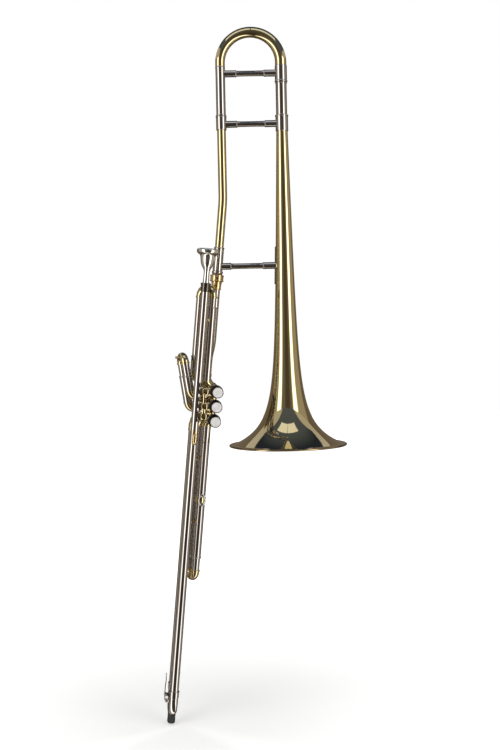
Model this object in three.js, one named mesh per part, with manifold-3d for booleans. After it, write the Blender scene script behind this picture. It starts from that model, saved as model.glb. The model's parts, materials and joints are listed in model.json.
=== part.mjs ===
// Valve trombone: bell section, tuning slide and three-valve section.
// Millimetres, +Z up along the bell's axis, origin at the centre of the bell's mouth.
import * as THREE from 'three';
import { mergeVertices } from 'three/addons/utils/BufferGeometryUtils.js';
import Module from 'manifold-3d';

const wasm = await Module();
wasm.setup();

const radians = THREE.MathUtils.degToRad;
const vector = (x, y, z) => new THREE.Vector3(x, y, z);
const up = vector(0, 0, 1);
const down = vector(0, 0, -1);
const right = vector(1, 0, 0);
const back = vector(0, 1, 0);

// Fits shared by the whole instrument
const seatGap = 0.3;
const slideGap = 0.4;
const pistonGap = 0.2;
const overrun = 1;
const tubeSides = 10;
const turnedSides = 12;
const pinSides = 8;
const chordError = 1.1;
const mergeTolerance = 0.01;

// Bell
const mouthRadius = 101.6;
const bellLength = 540;
const stemRadius = 9.5;
const stemTaper = 12;
const flareDepth = 90;
const flareExponent = 2.95;
const bellWall = 0.7;
const rimRadius = 1.7;
const bellSides = 24;
const bellRows = 10;
const rowSpread = 2.2;

// Tuning slide and the two legs that it joins
const legSpacing = 103.3;
const slideRise = 112.2;
const slideTop = bellLength + slideRise;
const crookRise = 3;
const crookRadiusNarrow = 8.2;
const crookRadiusWide = 9.8;
const crookWall = 0.6;
const narrowSleeveRadius = 8.1;
const narrowSleeveDrop = 3.5;
const wideFerruleRadius = 10.4;
const wideFerruleLength = 28.4;
const wideFerruleDrop = 2.6;
const stemFerruleRadius = 10.8;
const wideTubeRadius = 9.5;
const sleeveWall = 0.5;
const legFerruleLength = 25.6;
const narrowSeatRise = 1.5;
const narrowSeatDepth = 4;
const narrowFerruleRadius = 8.9;
const tuningInsertion = 62;
const bandHeight = 2;
const bandProud = 0.7;

// Neckpipe and the joint between bell section and valve section
const neckpipeRadius = 7.4;
const neckpipeWall = 0.7;
const neckStraight = 70.6;
const neckBend = 200;
const neckHeight = 342.6;
const sectionTilt = radians(5.7);
const sectionTwist = radians(6);
const socketLength = 41.5;
const socketRadius = 8.4;
const collarRadius = 9.7;
const collarHeight = 2.4;
const threadRadius = 9;
const threadLength = 8;
const neckpipeInsertion = 8;
const tenonRadiusTop = 6.4;
const tenonRadiusBase = 7;
const tenonWall = 0.7;
const tenonFlange = 1.8;
const nutRadius = 11.8;
const nutHeight = 11.6;
const nutDrop = 5.6;
const nutFlutes = 8;
const fluteRadius = 1.1;
const fluteSides = 4;
const tenonFerruleLength = 13.8;

// Braces of the bell section
const braceRadius = 5;
const braceSleeveRadius = 5.85;
const braceSleeveLength = 19;
const braceSleeveShare = 1 / 3;
const braceWaistShare = 0.94;
const upperBraceDrop = 15.4;
const middleBraceRise = 11.4;
const lowerBraceDrop = 32.6;
const upperBraceHeight = slideTop - upperBraceDrop;
const middleBraceHeight = bellLength + middleBraceRise;
const lowerBraceHeight = neckHeight - lowerBraceDrop;
const footHeight = 64;
const footWidth = 9;
const footThickness = 1.6;

// Legs of the valve section
const legDepth = 46;
const outletSide = 21.4;
const neckToReceiver = 76.6;
const leadRadiusTop = 6.9;
const leadRadiusBase = 7.3;
const legBore = 6.25;
const legLength = 688;
const bowDrop = 9;
const bowRadius = 7.5;
const bowFerruleLength = 9;
const ferruleWall = 0.5;
const bumperRadius = 6.8;
const bumperDrop = 14.6;
const bumperWrap = 4;
const bumperShares = [[1, 0.26], [0.87, 0.1], [0.5, 0]];

// Mouthpiece and its receiver
const receiverTop = 12;
const receiverLength = 15;
const receiverLand = 8;
const receiverWall = 0.9;
const shankInsertion = 22;
const shankRadiusEnd = 5.2;
const shankRadiusStep = 5.8;
const mouthpieceLength = 79;
const cupHeight = 33;
const shankWaist = 4.9;
const shankWaistShare = 0.7;
const mouthpieceRimRadius = 19.2;
const cupOutsideShares = [
  [0.29, 0], [0.36, 0.16], [0.51, 0.4], [0.61, 0.62], [0.68, 0.78], [0.95, 0.85], [1, 0.93], [0.95, 0.98],
  [0.84, 1], [0.7, 0.98],
];
const cupRadius = 12.8;
const cupDepth = 22;
const throatRadius = 3;
const cupInsideShares = [[0.97, 0.82], [0.88, 0.5], [0.6, 0.2], [0.38, 0.05]];

// Slide tubes and knuckles of the valve section
const tubeRadius = 7;
const tubeBore = 6.2;
const innerWall = 0.5;
const sleeveRadius = 7.5;
const innerRadius = sleeveRadius - sleeveWall - slideGap;
const stepLength = 3;

// Valve cluster
const valveSide = 28.5;
const firstValveDrop = 166;
const valvePitch = 24;
const valveDrops = [0, 1, 2].map((place) => firstValveDrop + place * valvePitch);
const casingRadius = 9.7;
const casingBore = 8.6;
const casingTop = -42;
const casingBottom = 70;
const portRadius = 5;
const stroke = 16;
const pistonRadius = casingBore - pistonGap;
const pistonTop = -11.5;
const pistonBottom = 52;
const passageRadius = 4.7;
const passageSteps = 3;
const passageSides = 6;
const passageBulgeShare = 1 / 3;
const passageLeadShare = 0.2;
const knuckleStartShare = 0.7;
const barrelTop = -40.5;
const barrelWall = 0.9;
const slotWidth = 4;
const slotMargin = 3;
const guideThickness = 2;
const guideHole = 1.6;
const capSkirt = 8;
const capWall = 0.8;
const topCapPlate = 2.4;
const bottomCapPlate = 3.2;
const stemRodRadius = 2.4;
const stemPlug = 2.6;
const feltHeight = 2;
const buttonRadius = 9.25;
const buttonHeight = 5;
const buttonNeck = 4;
const buttonNeckShare = 0.3;
const buttonSlopeShare = 0.4;
const buttonEdgeShare = 0.6;
const springRadius = 5.6;
const springWire = 0.5;
const springTurns = 4;
const springSteps = 6;
const springSides = 3;

// Ports as angle round the valve, seen from the button, and depth along it
const deepLevel = legDepth;
const crossLevel = 28;
const firstValve = {
  inlet: { angle: radians(270), level: crossLevel },
  outlet: { angle: radians(125), level: deepLevel },
  loopOut: { angle: radians(145), level: 12 },
  loopBack: { angle: radians(150), level: 31 },
};
const secondValve = {
  inlet: { angle: radians(270), level: crossLevel },
  outlet: { angle: radians(90), level: crossLevel },
  loopOut: { angle: radians(200), level: 36 },
  loopBack: { angle: radians(160), level: 16 },
};
const thirdValve = {
  inlet: { angle: radians(180), level: deepLevel },
  outlet: { angle: radians(90), level: crossLevel },
  loopOut: { angle: radians(215), level: 29 },
  loopBack: { angle: radians(235), level: 11 },
};
const valvePorts = [firstValve, secondValve, thirdValve];

// Places of the slide tubes beside the lead tube
const firstLeftSide = -5.4;
const firstRightSide = 14.4;
const firstLeftRise = 55;
const firstRightRise = 139;
const firstLeftEnd = firstValveDrop - firstLeftRise;
const firstRightEnd = firstValveDrop - firstRightRise;
const firstLeftInsertion = 25;
const firstRightInsertion = 90;
const firstCrookReach = 38.6;
const firstCrookTop = firstCrookReach - firstRightEnd;
const secondLean = radians(14);
const secondDeepSide = -12.5;
const secondNearSide = -7;
const secondSleeveLength = 26;
const secondInsertion = 22;
const secondReach = 66;
const knobReach = 5;
const knobRadius = 2.4;
const knobShares = [[0.5, 0.5], [1, 0.7], [0.7, 1]];
const thirdNearSide = 20.5;
const thirdDeepSide = 11.6;
const thirdEnd = 453;
const thirdInsertion = 150;
const thirdCrookReach = 40;
const thirdCrookBottom = thirdEnd + thirdCrookReach;
const knuckleBend = 10;
const outletShift = 3.8;
const outletShiftStart = 78;
const outletShiftBend = 130;
const returnBend = 13;
const outletBend = 14;

// Small braces, ring band and finger hook
const postRadius = 2.4;
const postFoot = 4.2;
const postFootHeight = 1;
const postChamfer = 0.6;
const leadPostDrop = 49;
const outletPostDrop = 45;
const thirdPostDrops = [283, 391];
const ringBandDrop = 353;
const ringBandHeight = 9;
const ringBandWall = 0.9;
const ringRadius = 4.6;
const ringWire = 1.1;
const ringWireSides = 6;
const ringSinkShare = 0.4;
const hookDrop = 247;
const hookHeight = 24;
const hookWidth = 6.5;
const hookReach = 19;
const hookThickness = 2.6;
const hookLip = 10;
const hookSteps = 5;

// Water keys
const keyPivotAbove = 3;
const keyPivotDrop = legLength - keyPivotAbove;
const keyPivotReach = 6;
const keyPinRadius = 1.2;
const keyWidth = 5;
const keyPostWidth = 1.6;
const keyPostLength = 3.5;
const keyFootLength = 7;
const keyFootRise = 0.7;
const keyFootDepth = 2.1;
const keyLeverLength = 33;
const keyArmLength = 11;
const keyThickness = 1.6;
const keyCupRadius = 3.6;
const keyArmShare = 0.7;
const keyTouchRadius = 3.5;
const nippleRadius = 2.6;
const nippleBore = 1;
const nippleReach = 2.2;

const silver = () => metal(0xb9b7b0, 0.18);
const nickel = () => metal(0xa39c90, 0.2);
const brass = () => metal(0xb5914a, 0.24);
const goldBrass = () => metal(0xc09a3e, 0.22);

function metal(color, roughness) {
  return new THREE.MeshStandardMaterial({ color, roughness, metalness: 1 });
}

function rubber() {
  return new THREE.MeshStandardMaterial({ color: 0x1c1b1a, roughness: 0.75, metalness: 0 });
}

function springSteel() {
  return new THREE.MeshStandardMaterial({ color: 0x8c8a84, roughness: 0.35, metalness: 1 });
}

function pearl() {
  return new THREE.MeshStandardMaterial({ color: 0xe4e1da, roughness: 0.3, metalness: 0.2 });
}

// Turns a closed geometry into a solid, with shared corners and its faces outwards.
function solidOf(geometry) {
  geometry.deleteAttribute('normal');
  geometry.deleteAttribute('uv');
  const welded = mergeVertices(geometry);
  const points = welded.attributes.position;
  const corners = Array.from(welded.index.array);
  const kept = [];
  let volume = 0;
  for (let i = 0; i < corners.length; i += 3) {
    const [a, b, c] = corners.slice(i, i + 3);
    if (a === b || b === c || c === a) continue;
    kept.push(a, b, c);
    const [p, q, r] = [a, b, c].map((k) => new THREE.Vector3().fromBufferAttribute(points, k));
    volume += p.dot(q.cross(r));
  }
  if (volume < 0) kept.reverse();
  return new wasm.Manifold(new wasm.Mesh({
    numProp: 3,
    vertProperties: new Float32Array(points.array),
    triVerts: new Uint32Array(kept),
  }));
}

function geometryOf(solid) {
  const { vertProperties, triVerts } = solid.simplify(mergeTolerance).getMesh();
  const geometry = new THREE.BufferGeometry();
  geometry.setAttribute('position', new THREE.BufferAttribute(vertProperties, 3));
  geometry.setIndex(new THREE.BufferAttribute(triVerts, 1));
  geometry.computeVertexNormals();
  return geometry;
}

function piece(name, solid, material) {
  const mesh = new THREE.Mesh(geometryOf(solid), material);
  mesh.name = name;
  return mesh;
}

// Carries a solid made round +Z to a place and an axis.
function placed(solid, at, axis = up) {
  const turn = new THREE.Quaternion().setFromUnitVectors(up, axis.clone().normalize());
  const matrix = new THREE.Matrix4().compose(at, turn, vector(1, 1, 1));
  return solid.transform(matrix.elements);
}

function joined(...solids) {
  return solids.reduce((sum, next) => sum.add(next));
}

// A solid of revolution round +Z, from a closed outline of [radius, height] pairs.
function turned(outline, sides = tubeSides) {
  const profile = [...outline, outline[0]].map(([radius, height]) => new THREE.Vector2(radius, height));
  return solidOf(new THREE.LatheGeometry(profile, sides).rotateX(Math.PI / 2));
}

function rod(radius, from, to, sides = tubeSides) {
  return turned([[0, from], [radius, from], [radius, to], [0, to]], sides);
}

function ringTube(outer, inner, from, to, sides = tubeSides) {
  return turned([[inner, from], [outer, from], [outer, to], [inner, to]], sides);
}

// Radius of a turned hole whose flats stand clear of a round tube.
function clearOf(radius) {
  return (radius + seatGap) / Math.cos(Math.PI / turnedSides);
}

function box(width, depth, height, at) {
  return solidOf(new THREE.BoxGeometry(width, depth, height).translate(at.x, at.y, at.z));
}

// A walk along the centreline of a tube: each station keeps place, heading and radii.
class Route {
  constructor(at, heading, outer, inner) {
    this.at = at.clone();
    this.heading = heading.clone().normalize();
    this.outer = outer;
    this.inner = inner;
    this.stations = [];
    this.mark();
  }

  mark() {
    const { at, heading, outer, inner } = this;
    this.stations.push({ at: at.clone(), heading: heading.clone(), outer, inner });
    return this;
  }

  size(outer, inner) {
    this.outer = outer;
    this.inner = inner;
    return this.mark();
  }

  ahead(length) {
    this.at.addScaledVector(this.heading, length);
    return this.mark();
  }

  // Bends by an angle towards a direction, and can change radii evenly on the way.
  bend(radius, angle, towards, outer = this.outer, inner = this.inner) {
    const start = this.heading.clone();
    const side = towards.clone().addScaledVector(start, -towards.dot(start)).normalize();
    const centre = this.at.clone().addScaledVector(side, radius);
    const [firstOuter, firstInner] = [this.outer, this.inner];
    const step = 2 * Math.acos(1 - chordError / radius);
    const steps = Math.max(2, Math.ceil(angle / step));
    for (let i = 1; i <= steps; i += 1) {
      const share = i / steps;
      const turn = angle * share;
      this.heading.copy(start).multiplyScalar(Math.cos(turn)).addScaledVector(side, Math.sin(turn));
      this.at.copy(centre).addScaledVector(side, -radius * Math.cos(turn));
      this.at.addScaledVector(start, radius * Math.sin(turn));
      this.outer = THREE.MathUtils.lerp(firstOuter, outer, share);
      this.inner = THREE.MathUtils.lerp(firstInner, inner, share);
      this.mark();
    }
    return this;
  }

  // The rings of corners round every station, without twist from one to the next.
  rings(radiusOf, sides) {
    const first = this.stations[0].heading;
    const reference = Math.abs(first.y) > Math.abs(first.z) ? right : back;
    const across = reference.clone().addScaledVector(first, -reference.dot(first)).normalize();
    let previous = first;
    return this.stations.map((station) => {
      const turn = new THREE.Quaternion().setFromUnitVectors(previous, station.heading);
      across.applyQuaternion(turn);
      previous = station.heading;
      const beside = station.heading.clone().cross(across);
      return Array.from({ length: sides }, (_, k) => {
        const angle = (2 * Math.PI * k) / sides;
        return station.at.clone()
          .addScaledVector(across, radiusOf(station) * Math.cos(angle))
          .addScaledVector(beside, radiusOf(station) * Math.sin(angle));
      });
    });
  }

  pipe(sides = tubeSides) {
    const outside = this.rings((station) => station.outer, sides);
    const inside = this.rings((station) => station.inner, sides).reverse();
    return solidOf(lofted([...outside, ...inside], true));
  }

  bar(sides = tubeSides) {
    return solidOf(lofted(this.rings((station) => station.outer, sides), false));
  }

  core(sides = tubeSides) {
    return solidOf(lofted(this.rings((station) => station.inner, sides), false));
  }
}

// A skin over rings of equal counts, closed on itself or capped at both ends.
function lofted(rings, closed) {
  const sides = rings[0].length;
  const positions = rings.flat().flatMap((point) => point.toArray());
  const corners = [];
  const count = closed ? rings.length : rings.length - 1;
  for (let i = 0; i < count; i += 1) {
    const [here, next] = [i * sides, ((i + 1) % rings.length) * sides];
    for (let k = 0; k < sides; k += 1) {
      const other = (k + 1) % sides;
      corners.push(here + k, here + other, next + other, here + k, next + other, next + k);
    }
  }
  if (!closed) {
    const last = (rings.length - 1) * sides;
    for (let k = 1; k < sides - 1; k += 1) {
      corners.push(0, k + 1, k, last, last + k, last + k + 1);
    }
  }
  const geometry = new THREE.BufferGeometry();
  geometry.setAttribute('position', new THREE.Float32BufferAttribute(positions, 3));
  geometry.setIndex(corners);
  return geometry;
}

// Bell section

function bellRadiusAt(height) {
  const taper = stemTaper * (1 - height / bellLength);
  const flare = mouthRadius - stemRadius - stemTaper;
  return stemRadius + taper + flare * (flareDepth / (height + flareDepth)) ** flareExponent;
}

function bell() {
  const bead = mouthRadius - rimRadius;
  const outside = [];
  const inside = [];
  for (let i = 0; i <= bellRows; i += 1) {
    const height = rimRadius + (bellLength - rimRadius) * (i / bellRows) ** rowSpread;
    const radius = bellRadiusAt(height);
    const slope = (bellRadiusAt(height + overrun) - radius) / overrun;
    const lean = bellWall / Math.hypot(1, slope);
    outside.push([radius, height]);
    inside.push([radius - lean, Math.min(height + lean * slope, bellLength)]);
  }
  const rim = [[bead, 0], [mouthRadius, rimRadius], [bead, rimRadius * 2]];
  return turned([...outside, ...inside.reverse(), ...rim], bellSides);
}

// Height of the ferrules where the tuning slide's legs begin.
const legFerruleTop = bellLength + legFerruleLength;
const neckpipeTop = bellLength + narrowSeatRise + narrowSeatDepth;
const narrowLeg = vector(-legSpacing, 0, 0);

function tuningReceiver() {
  const inner = wideTubeRadius - sleeveWall;
  const top = slideTop - wideFerruleDrop - wideFerruleLength - seatGap;
  const seat = bellLength - bandHeight;
  const stem = clearOf(bellRadiusAt(seat));
  return turned([
    [stem, seat], [stemFerruleRadius, seat], [stemFerruleRadius, legFerruleTop - bandHeight],
    [stemFerruleRadius + bandProud, legFerruleTop - bandHeight],
    [stemFerruleRadius + bandProud, legFerruleTop], [wideTubeRadius, legFerruleTop],
    [wideTubeRadius, top - bandHeight], [wideTubeRadius + bandProud, top - bandHeight],
    [wideTubeRadius + bandProud, top], [inner, top], [inner, bellLength + bandHeight],
    [inner - sleeveWall, bellLength + bandHeight], [inner - sleeveWall, bellLength + seatGap],
    [stem, bellLength + seatGap]], turnedSides);
}

function tuningTenon() {
  const tube = narrowSleeveRadius - sleeveWall - slideGap;
  const top = legFerruleTop + tuningInsertion;
  const seat = bellLength + narrowSeatRise;
  const pipe = neckpipeRadius + seatGap;
  return placed(turned([
    [pipe, seat], [narrowFerruleRadius, seat], [narrowFerruleRadius, legFerruleTop - bandHeight],
    [narrowFerruleRadius + bandProud, legFerruleTop - bandHeight],
    [narrowFerruleRadius + bandProud, legFerruleTop], [tube, legFerruleTop], [tube, top],
    [tube - sleeveWall, top], [tube - sleeveWall, neckpipeTop + seatGap],
    [pipe, neckpipeTop + seatGap]], turnedSides), narrowLeg);
}

// The U of the tuning slide, with a sleeve on its narrow leg and a tube in its wide leg.
function tuningCrook() {
  const arc = legSpacing / 2;
  const sleeveBottom = legFerruleTop + seatGap;
  const sleeveInner = narrowSleeveRadius - sleeveWall;
  const tube = wideTubeRadius - sleeveWall - slideGap;
  const narrowBore = crookRadiusNarrow - crookWall;
  const wideBore = crookRadiusWide - crookWall;
  const start = vector(-legSpacing, 0, sleeveBottom);
  return new Route(start, up, narrowSleeveRadius + bandProud, sleeveInner)
    .ahead(bandHeight)
    .size(narrowSleeveRadius, sleeveInner)
    .ahead(slideTop - narrowSleeveDrop - sleeveBottom - bandHeight * 2)
    .size(narrowSleeveRadius, narrowBore - sleeveWall)
    .ahead(bandHeight)
    .size(crookRadiusNarrow, narrowBore - sleeveWall)
    .ahead(narrowSleeveDrop + crookRise)
    .bend(arc, Math.PI, right, crookRadiusWide, wideBore - sleeveWall)
    .ahead(crookRise + wideFerruleDrop)
    .size(wideFerruleRadius, wideBore - sleeveWall)
    .ahead(wideFerruleLength - bandHeight)
    .size(wideFerruleRadius + bandProud, tube - sleeveWall)
    .ahead(bandHeight)
    .size(tube, tube - sleeveWall)
    .ahead(tuningInsertion)
    .pipe();
}

// The neck frame: origin where the neckpipe enters its socket, -Z towards the valves.
const neckAxis = vector(Math.sin(sectionTilt), 0, Math.cos(sectionTilt));
const neckShift = neckStraight * Math.sin(sectionTilt) + neckBend * (1 - Math.cos(sectionTilt));
const neckPlace = vector(-legSpacing - neckShift, 0, neckHeight);

function neckpipe() {
  const rise = neckStraight * Math.cos(sectionTilt) + neckBend * Math.sin(sectionTilt);
  const start = neckPlace.clone().addScaledVector(neckAxis, -neckpipeInsertion);
  return new Route(start, neckAxis, neckpipeRadius, neckpipeRadius - neckpipeWall)
    .ahead(neckpipeInsertion + neckStraight)
    .bend(neckBend, sectionTilt, right.clone().negate())
    .ahead(neckpipeTop - neckHeight - rise)
    .pipe(turnedSides);
}

function tenonRadiusAt(height) {
  const share = (height + threadBottom()) / (threadBottom() - neckpipeInsertion - bandHeight);
  return THREE.MathUtils.lerp(tenonRadiusBase, tenonRadiusTop, share);
}

function threadBottom() {
  return socketLength + collarHeight + threadLength;
}

function bellSocket() {
  const pipe = neckpipeRadius + seatGap;
  const stop = -neckpipeInsertion - seatGap;
  const collarTop = -socketLength;
  const collarBase = collarTop - collarHeight;
  return turned([
    [pipe, 0], [socketRadius + bandProud, 0], [socketRadius + bandProud, -bandHeight],
    [socketRadius, -bandHeight], [socketRadius, collarTop], [collarRadius, collarTop],
    [collarRadius, collarBase], [threadRadius, collarBase], [threadRadius, -threadBottom()],
    [tenonRadiusAt(-threadBottom()) + seatGap, -threadBottom()],
    [tenonRadiusAt(stop) + seatGap, stop - bandHeight],
    [neckpipeRadius - neckpipeWall, stop - bandHeight], [neckpipeRadius - neckpipeWall, stop],
    [pipe, stop]], turnedSides);
}

// Heights of the tenon's flange and of the nut, below the neck's origin.
const flangeTop = -threadBottom() - seatGap;
const flangeBase = flangeTop - tenonFlange;
const nutTop = -(socketLength + nutDrop);
const nutBase = nutTop - nutHeight;

function neckTenon() {
  const top = -neckpipeInsertion - seatGap - bandHeight - seatGap;
  const socket = tubeRadius + seatGap;
  const ferruleBase = nutBase - tenonFerruleLength;
  return turned([
    [tenonRadiusTop, top], [tenonRadiusBase, flangeTop], [threadRadius, flangeTop],
    [threadRadius, flangeBase], [tenonRadiusBase + tenonWall, flangeBase],
    [tenonRadiusBase + tenonWall, nutBase - seatGap], [threadRadius, nutBase - seatGap],
    [threadRadius, nutBase - bandHeight], [socket + tenonWall, ferruleBase + bandHeight],
    [socket + tenonWall, ferruleBase], [socket, ferruleBase],
    [socket, ferruleBase + neckpipeInsertion], [tenonRadiusTop - tenonWall, ferruleBase + neckpipeInsertion],
    [tenonRadiusTop - tenonWall, top]], turnedSides);
}

function lockNut() {
  const bore = tenonRadiusBase + tenonWall + seatGap;
  const shoulder = flangeBase - seatGap;
  const thread = threadRadius + seatGap;
  const bevel = bandProud;
  let nut = turned([
    [thread, nutTop], [nutRadius - bevel, nutTop], [nutRadius, nutTop - bevel],
    [nutRadius, nutBase + bevel], [nutRadius - bevel, nutBase], [bore, nutBase],
    [bore, shoulder], [thread, shoulder]], nutFlutes * 2);
  const flute = rod(fluteRadius, nutBase - overrun, nutTop + overrun, fluteSides);
  for (let i = 0; i < nutFlutes; i += 1) {
    const angle = (2 * Math.PI * i) / nutFlutes;
    nut = nut.subtract(placed(flute, vector(nutRadius * Math.cos(angle), nutRadius * Math.sin(angle), 0)));
  }
  return nut;
}

// A cross bar along +X between two upright tubes, with a sleeve at each end.
function crossBar(from, to, height) {
  const length = to - from;
  const sleeve = Math.min(braceSleeveLength, length * braceSleeveShare);
  const waist = braceRadius * braceWaistShare;
  const bar = turned([
    [0, 0], [braceSleeveRadius, 0], [braceSleeveRadius, sleeve], [braceRadius, sleeve],
    [waist, length / 2], [braceRadius, length - sleeve], [braceSleeveRadius, length - sleeve],
    [braceSleeveRadius, length], [0, length]]);
  return placed(bar, vector(from, 0, height), right);
}

function uprightCut(radius, side, height) {
  const reach = braceSleeveRadius + overrun;
  return placed(rod(clearOf(radius), height - reach, height + reach, turnedSides), vector(side, 0, 0));
}

function upperBrace() {
  return crossBar(-legSpacing, 0, upperBraceHeight)
    .subtract(uprightCut(narrowSleeveRadius, -legSpacing, upperBraceHeight))
    .subtract(uprightCut(wideFerruleRadius, 0, upperBraceHeight));
}

function middleBrace() {
  return crossBar(-legSpacing, 0, middleBraceHeight)
    .subtract(uprightCut(narrowFerruleRadius, -legSpacing, middleBraceHeight))
    .subtract(uprightCut(stemFerruleRadius, 0, middleBraceHeight));
}

// The lower brace reaches from the neck socket to a long foot along the bell.
function lowerBrace() {
  const reach = footHeight / 2;
  const foot = box(braceSleeveLength, footWidth, footHeight,
    vector(-bellRadiusAt(lowerBraceHeight), 0, lowerBraceHeight));
  const skinTop = bellRadiusAt(lowerBraceHeight + reach) + seatGap;
  const skinBase = bellRadiusAt(lowerBraceHeight - reach) + seatGap;
  const skin = (extra) => turned([
    [0, lowerBraceHeight - reach - extra], [skinBase + extra, lowerBraceHeight - reach - extra],
    [skinTop + extra, lowerBraceHeight + reach + extra], [0, lowerBraceHeight + reach + extra]], bellSides);
  const plate = foot.intersect(skin(footThickness));
  const drop = (neckHeight - lowerBraceHeight) / Math.cos(sectionTilt);
  const socketCut = placed(
    rod(clearOf(socketRadius), -drop - socketLength, socketLength - drop, turnedSides), neckPlace, neckAxis);
  const from = neckPlace.x - drop * Math.sin(sectionTilt);
  return joined(crossBar(from, 0, lowerBraceHeight), plate)
    .subtract(skin(0))
    .subtract(socketCut);
}

// Valve section: +X to the side, +Y deeper, +Z along the lead tube towards the mouthpiece

const receiverBase = receiverTop - receiverLength;
const leadTop = receiverTop - receiverLand;

function shankRadiusAt(insertion) {
  return THREE.MathUtils.lerp(shankRadiusStep, shankRadiusEnd, insertion / shankInsertion);
}

function mouthpieceReceiver() {
  const socket = leadRadiusTop + seatGap;
  const outer = socket + receiverWall;
  return turned([
    [shankRadiusAt(0) + seatGap, receiverTop], [outer, receiverTop], [outer + bandProud, receiverTop - bandHeight],
    [outer, receiverTop - bandHeight * 2], [outer, receiverBase + bandHeight],
    [socket + receiverWall / 2, receiverBase], [socket, receiverBase], [socket, leadTop + seatGap],
    [shankRadiusAt(receiverLand) + seatGap, leadTop + seatGap]], turnedSides);
}

function mouthpiece() {
  const end = receiverTop - shankInsertion;
  const rimTop = end + mouthpieceLength;
  const outside = cupOutsideShares.map(([across, upward]) => [
    mouthpieceRimRadius * across, rimTop - cupHeight * (1 - upward)]);
  const inside = cupInsideShares.map(([across, upward]) => [
    cupRadius * across, rimTop - cupDepth * (1 - upward)]);
  return turned([
    [shankRadiusEnd, end], [shankRadiusStep, receiverTop],
    [shankWaist, THREE.MathUtils.lerp(receiverTop, rimTop - cupHeight, shankWaistShare)],
    ...outside, ...inside,
    [throatRadius, rimTop - cupDepth - bandHeight], [shankRadiusEnd - bandProud, end]], turnedSides);
}

function leadTube() {
  const route = new Route(vector(0, 0, leadTop), down, leadRadiusTop, legBore);
  route.ahead(hookDrop + leadTop);
  route.ahead(hookHeight);
  route.size(leadRadiusBase, legBore);
  return route.ahead(legLength - hookDrop - hookHeight).pipe();
}

// Point and outward direction of a port on a casing.
function portPlace(valve, port, radius = casingRadius) {
  const outward = vector(Math.cos(port.angle), 0, Math.sin(port.angle));
  const at = vector(valveSide, port.level, -valveDrops[valve]).addScaledVector(outward, radius);
  return { at, outward };
}

function casingCut(valve) {
  const cylinder = rod(clearOf(casingRadius), casingTop, casingBottom, turnedSides);
  return placed(cylinder, vector(valveSide, 0, -valveDrops[valve]), back);
}

// Starts a knuckle inside the casing wall, so that the casing can trim it to its seat.
function knuckle(valve, port) {
  const { at, outward } = portPlace(valve, port, casingRadius * knuckleStartShare);
  return new Route(at, outward, tubeRadius, tubeBore);
}

// Leads a knuckle from its port to a tube that stands at a given side, heading along an axis.
function knuckleTo(valve, port, side, heading, radius) {
  const route = knuckle(valve, port);
  const angle = route.heading.angleTo(heading);
  const across = route.heading.clone().addScaledVector(heading, -route.heading.dot(heading)).normalize();
  const target = vector(side, port.level, -valveDrops[valve]);
  const offset = target.sub(route.at).dot(across);
  route.ahead((offset - radius * (1 - Math.cos(angle))) / Math.sin(angle));
  return route.bend(radius, angle, heading);
}

// Widens a knuckle into the sleeve that takes a slide's inner tube.
function sleeve(route, length) {
  return route.size(sleeveRadius, tubeBore)
    .ahead(stepLength)
    .size(sleeveRadius, sleeveRadius - sleeveWall)
    .ahead(length - stepLength - bandHeight)
    .size(sleeveRadius + bandProud, sleeveRadius - sleeveWall)
    .ahead(bandHeight);
}

function firstSleeve(port, side, end) {
  const route = knuckleTo(0, port, side, up, knuckleBend);
  return sleeve(route, -end - route.at.z).pipe().subtract(casingCut(0));
}

function thirdSleeve(port, side) {
  const route = knuckleTo(2, port, side, down, knuckleBend);
  return sleeve(route, thirdEnd + route.at.z).pipe().subtract(casingCut(2));
}

const secondHeading = vector(-Math.sin(secondLean), 0, Math.cos(secondLean));

// Length along the leaning sleeves at which both second-slide tubes end level.
function secondEnd() {
  const bottom = vector(secondNearSide, 0, -valveDrops[1]);
  return bottom.dot(secondHeading) + secondSleeveLength + knuckleBend * 2;
}

function secondSleeve(port, side) {
  const route = knuckleTo(1, port, side, secondHeading, knuckleBend);
  return sleeve(route, secondEnd() - route.at.dot(secondHeading)).pipe().subtract(casingCut(1));
}

// An inner tube up to the crook, round its U, and down the other leg.
function slideRoute(from, to, heading, crookLevel, fromInsertion, toInsertion) {
  const across = to.clone().sub(from);
  across.addScaledVector(heading, -across.dot(heading));
  const radius = across.length() / 2;
  const level = crookLevel - radius - tubeRadius;
  const innerBore = innerRadius - innerWall;
  const start = from.clone().addScaledVector(heading, -fromInsertion);
  const rise = level - stepLength - start.dot(heading);
  const fall = level - stepLength - (to.dot(heading) - toInsertion);
  return new Route(start, heading, innerRadius, innerBore)
    .ahead(rise)
    .size(tubeRadius + bandProud, innerBore)
    .ahead(stepLength)
    .size(tubeRadius, innerBore)
    .bend(radius, Math.PI, across)
    .size(tubeRadius + bandProud, innerBore)
    .ahead(stepLength)
    .size(innerRadius, innerBore)
    .ahead(fall);
}

function firstCrook() {
  const left = vector(firstLeftSide, firstValve.loopBack.level, -firstLeftEnd);
  const rightLeg = vector(firstRightSide, firstValve.loopOut.level, -firstRightEnd);
  return slideRoute(left, rightLeg, up, firstCrookTop, firstLeftInsertion, firstRightInsertion).pipe();
}

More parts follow.
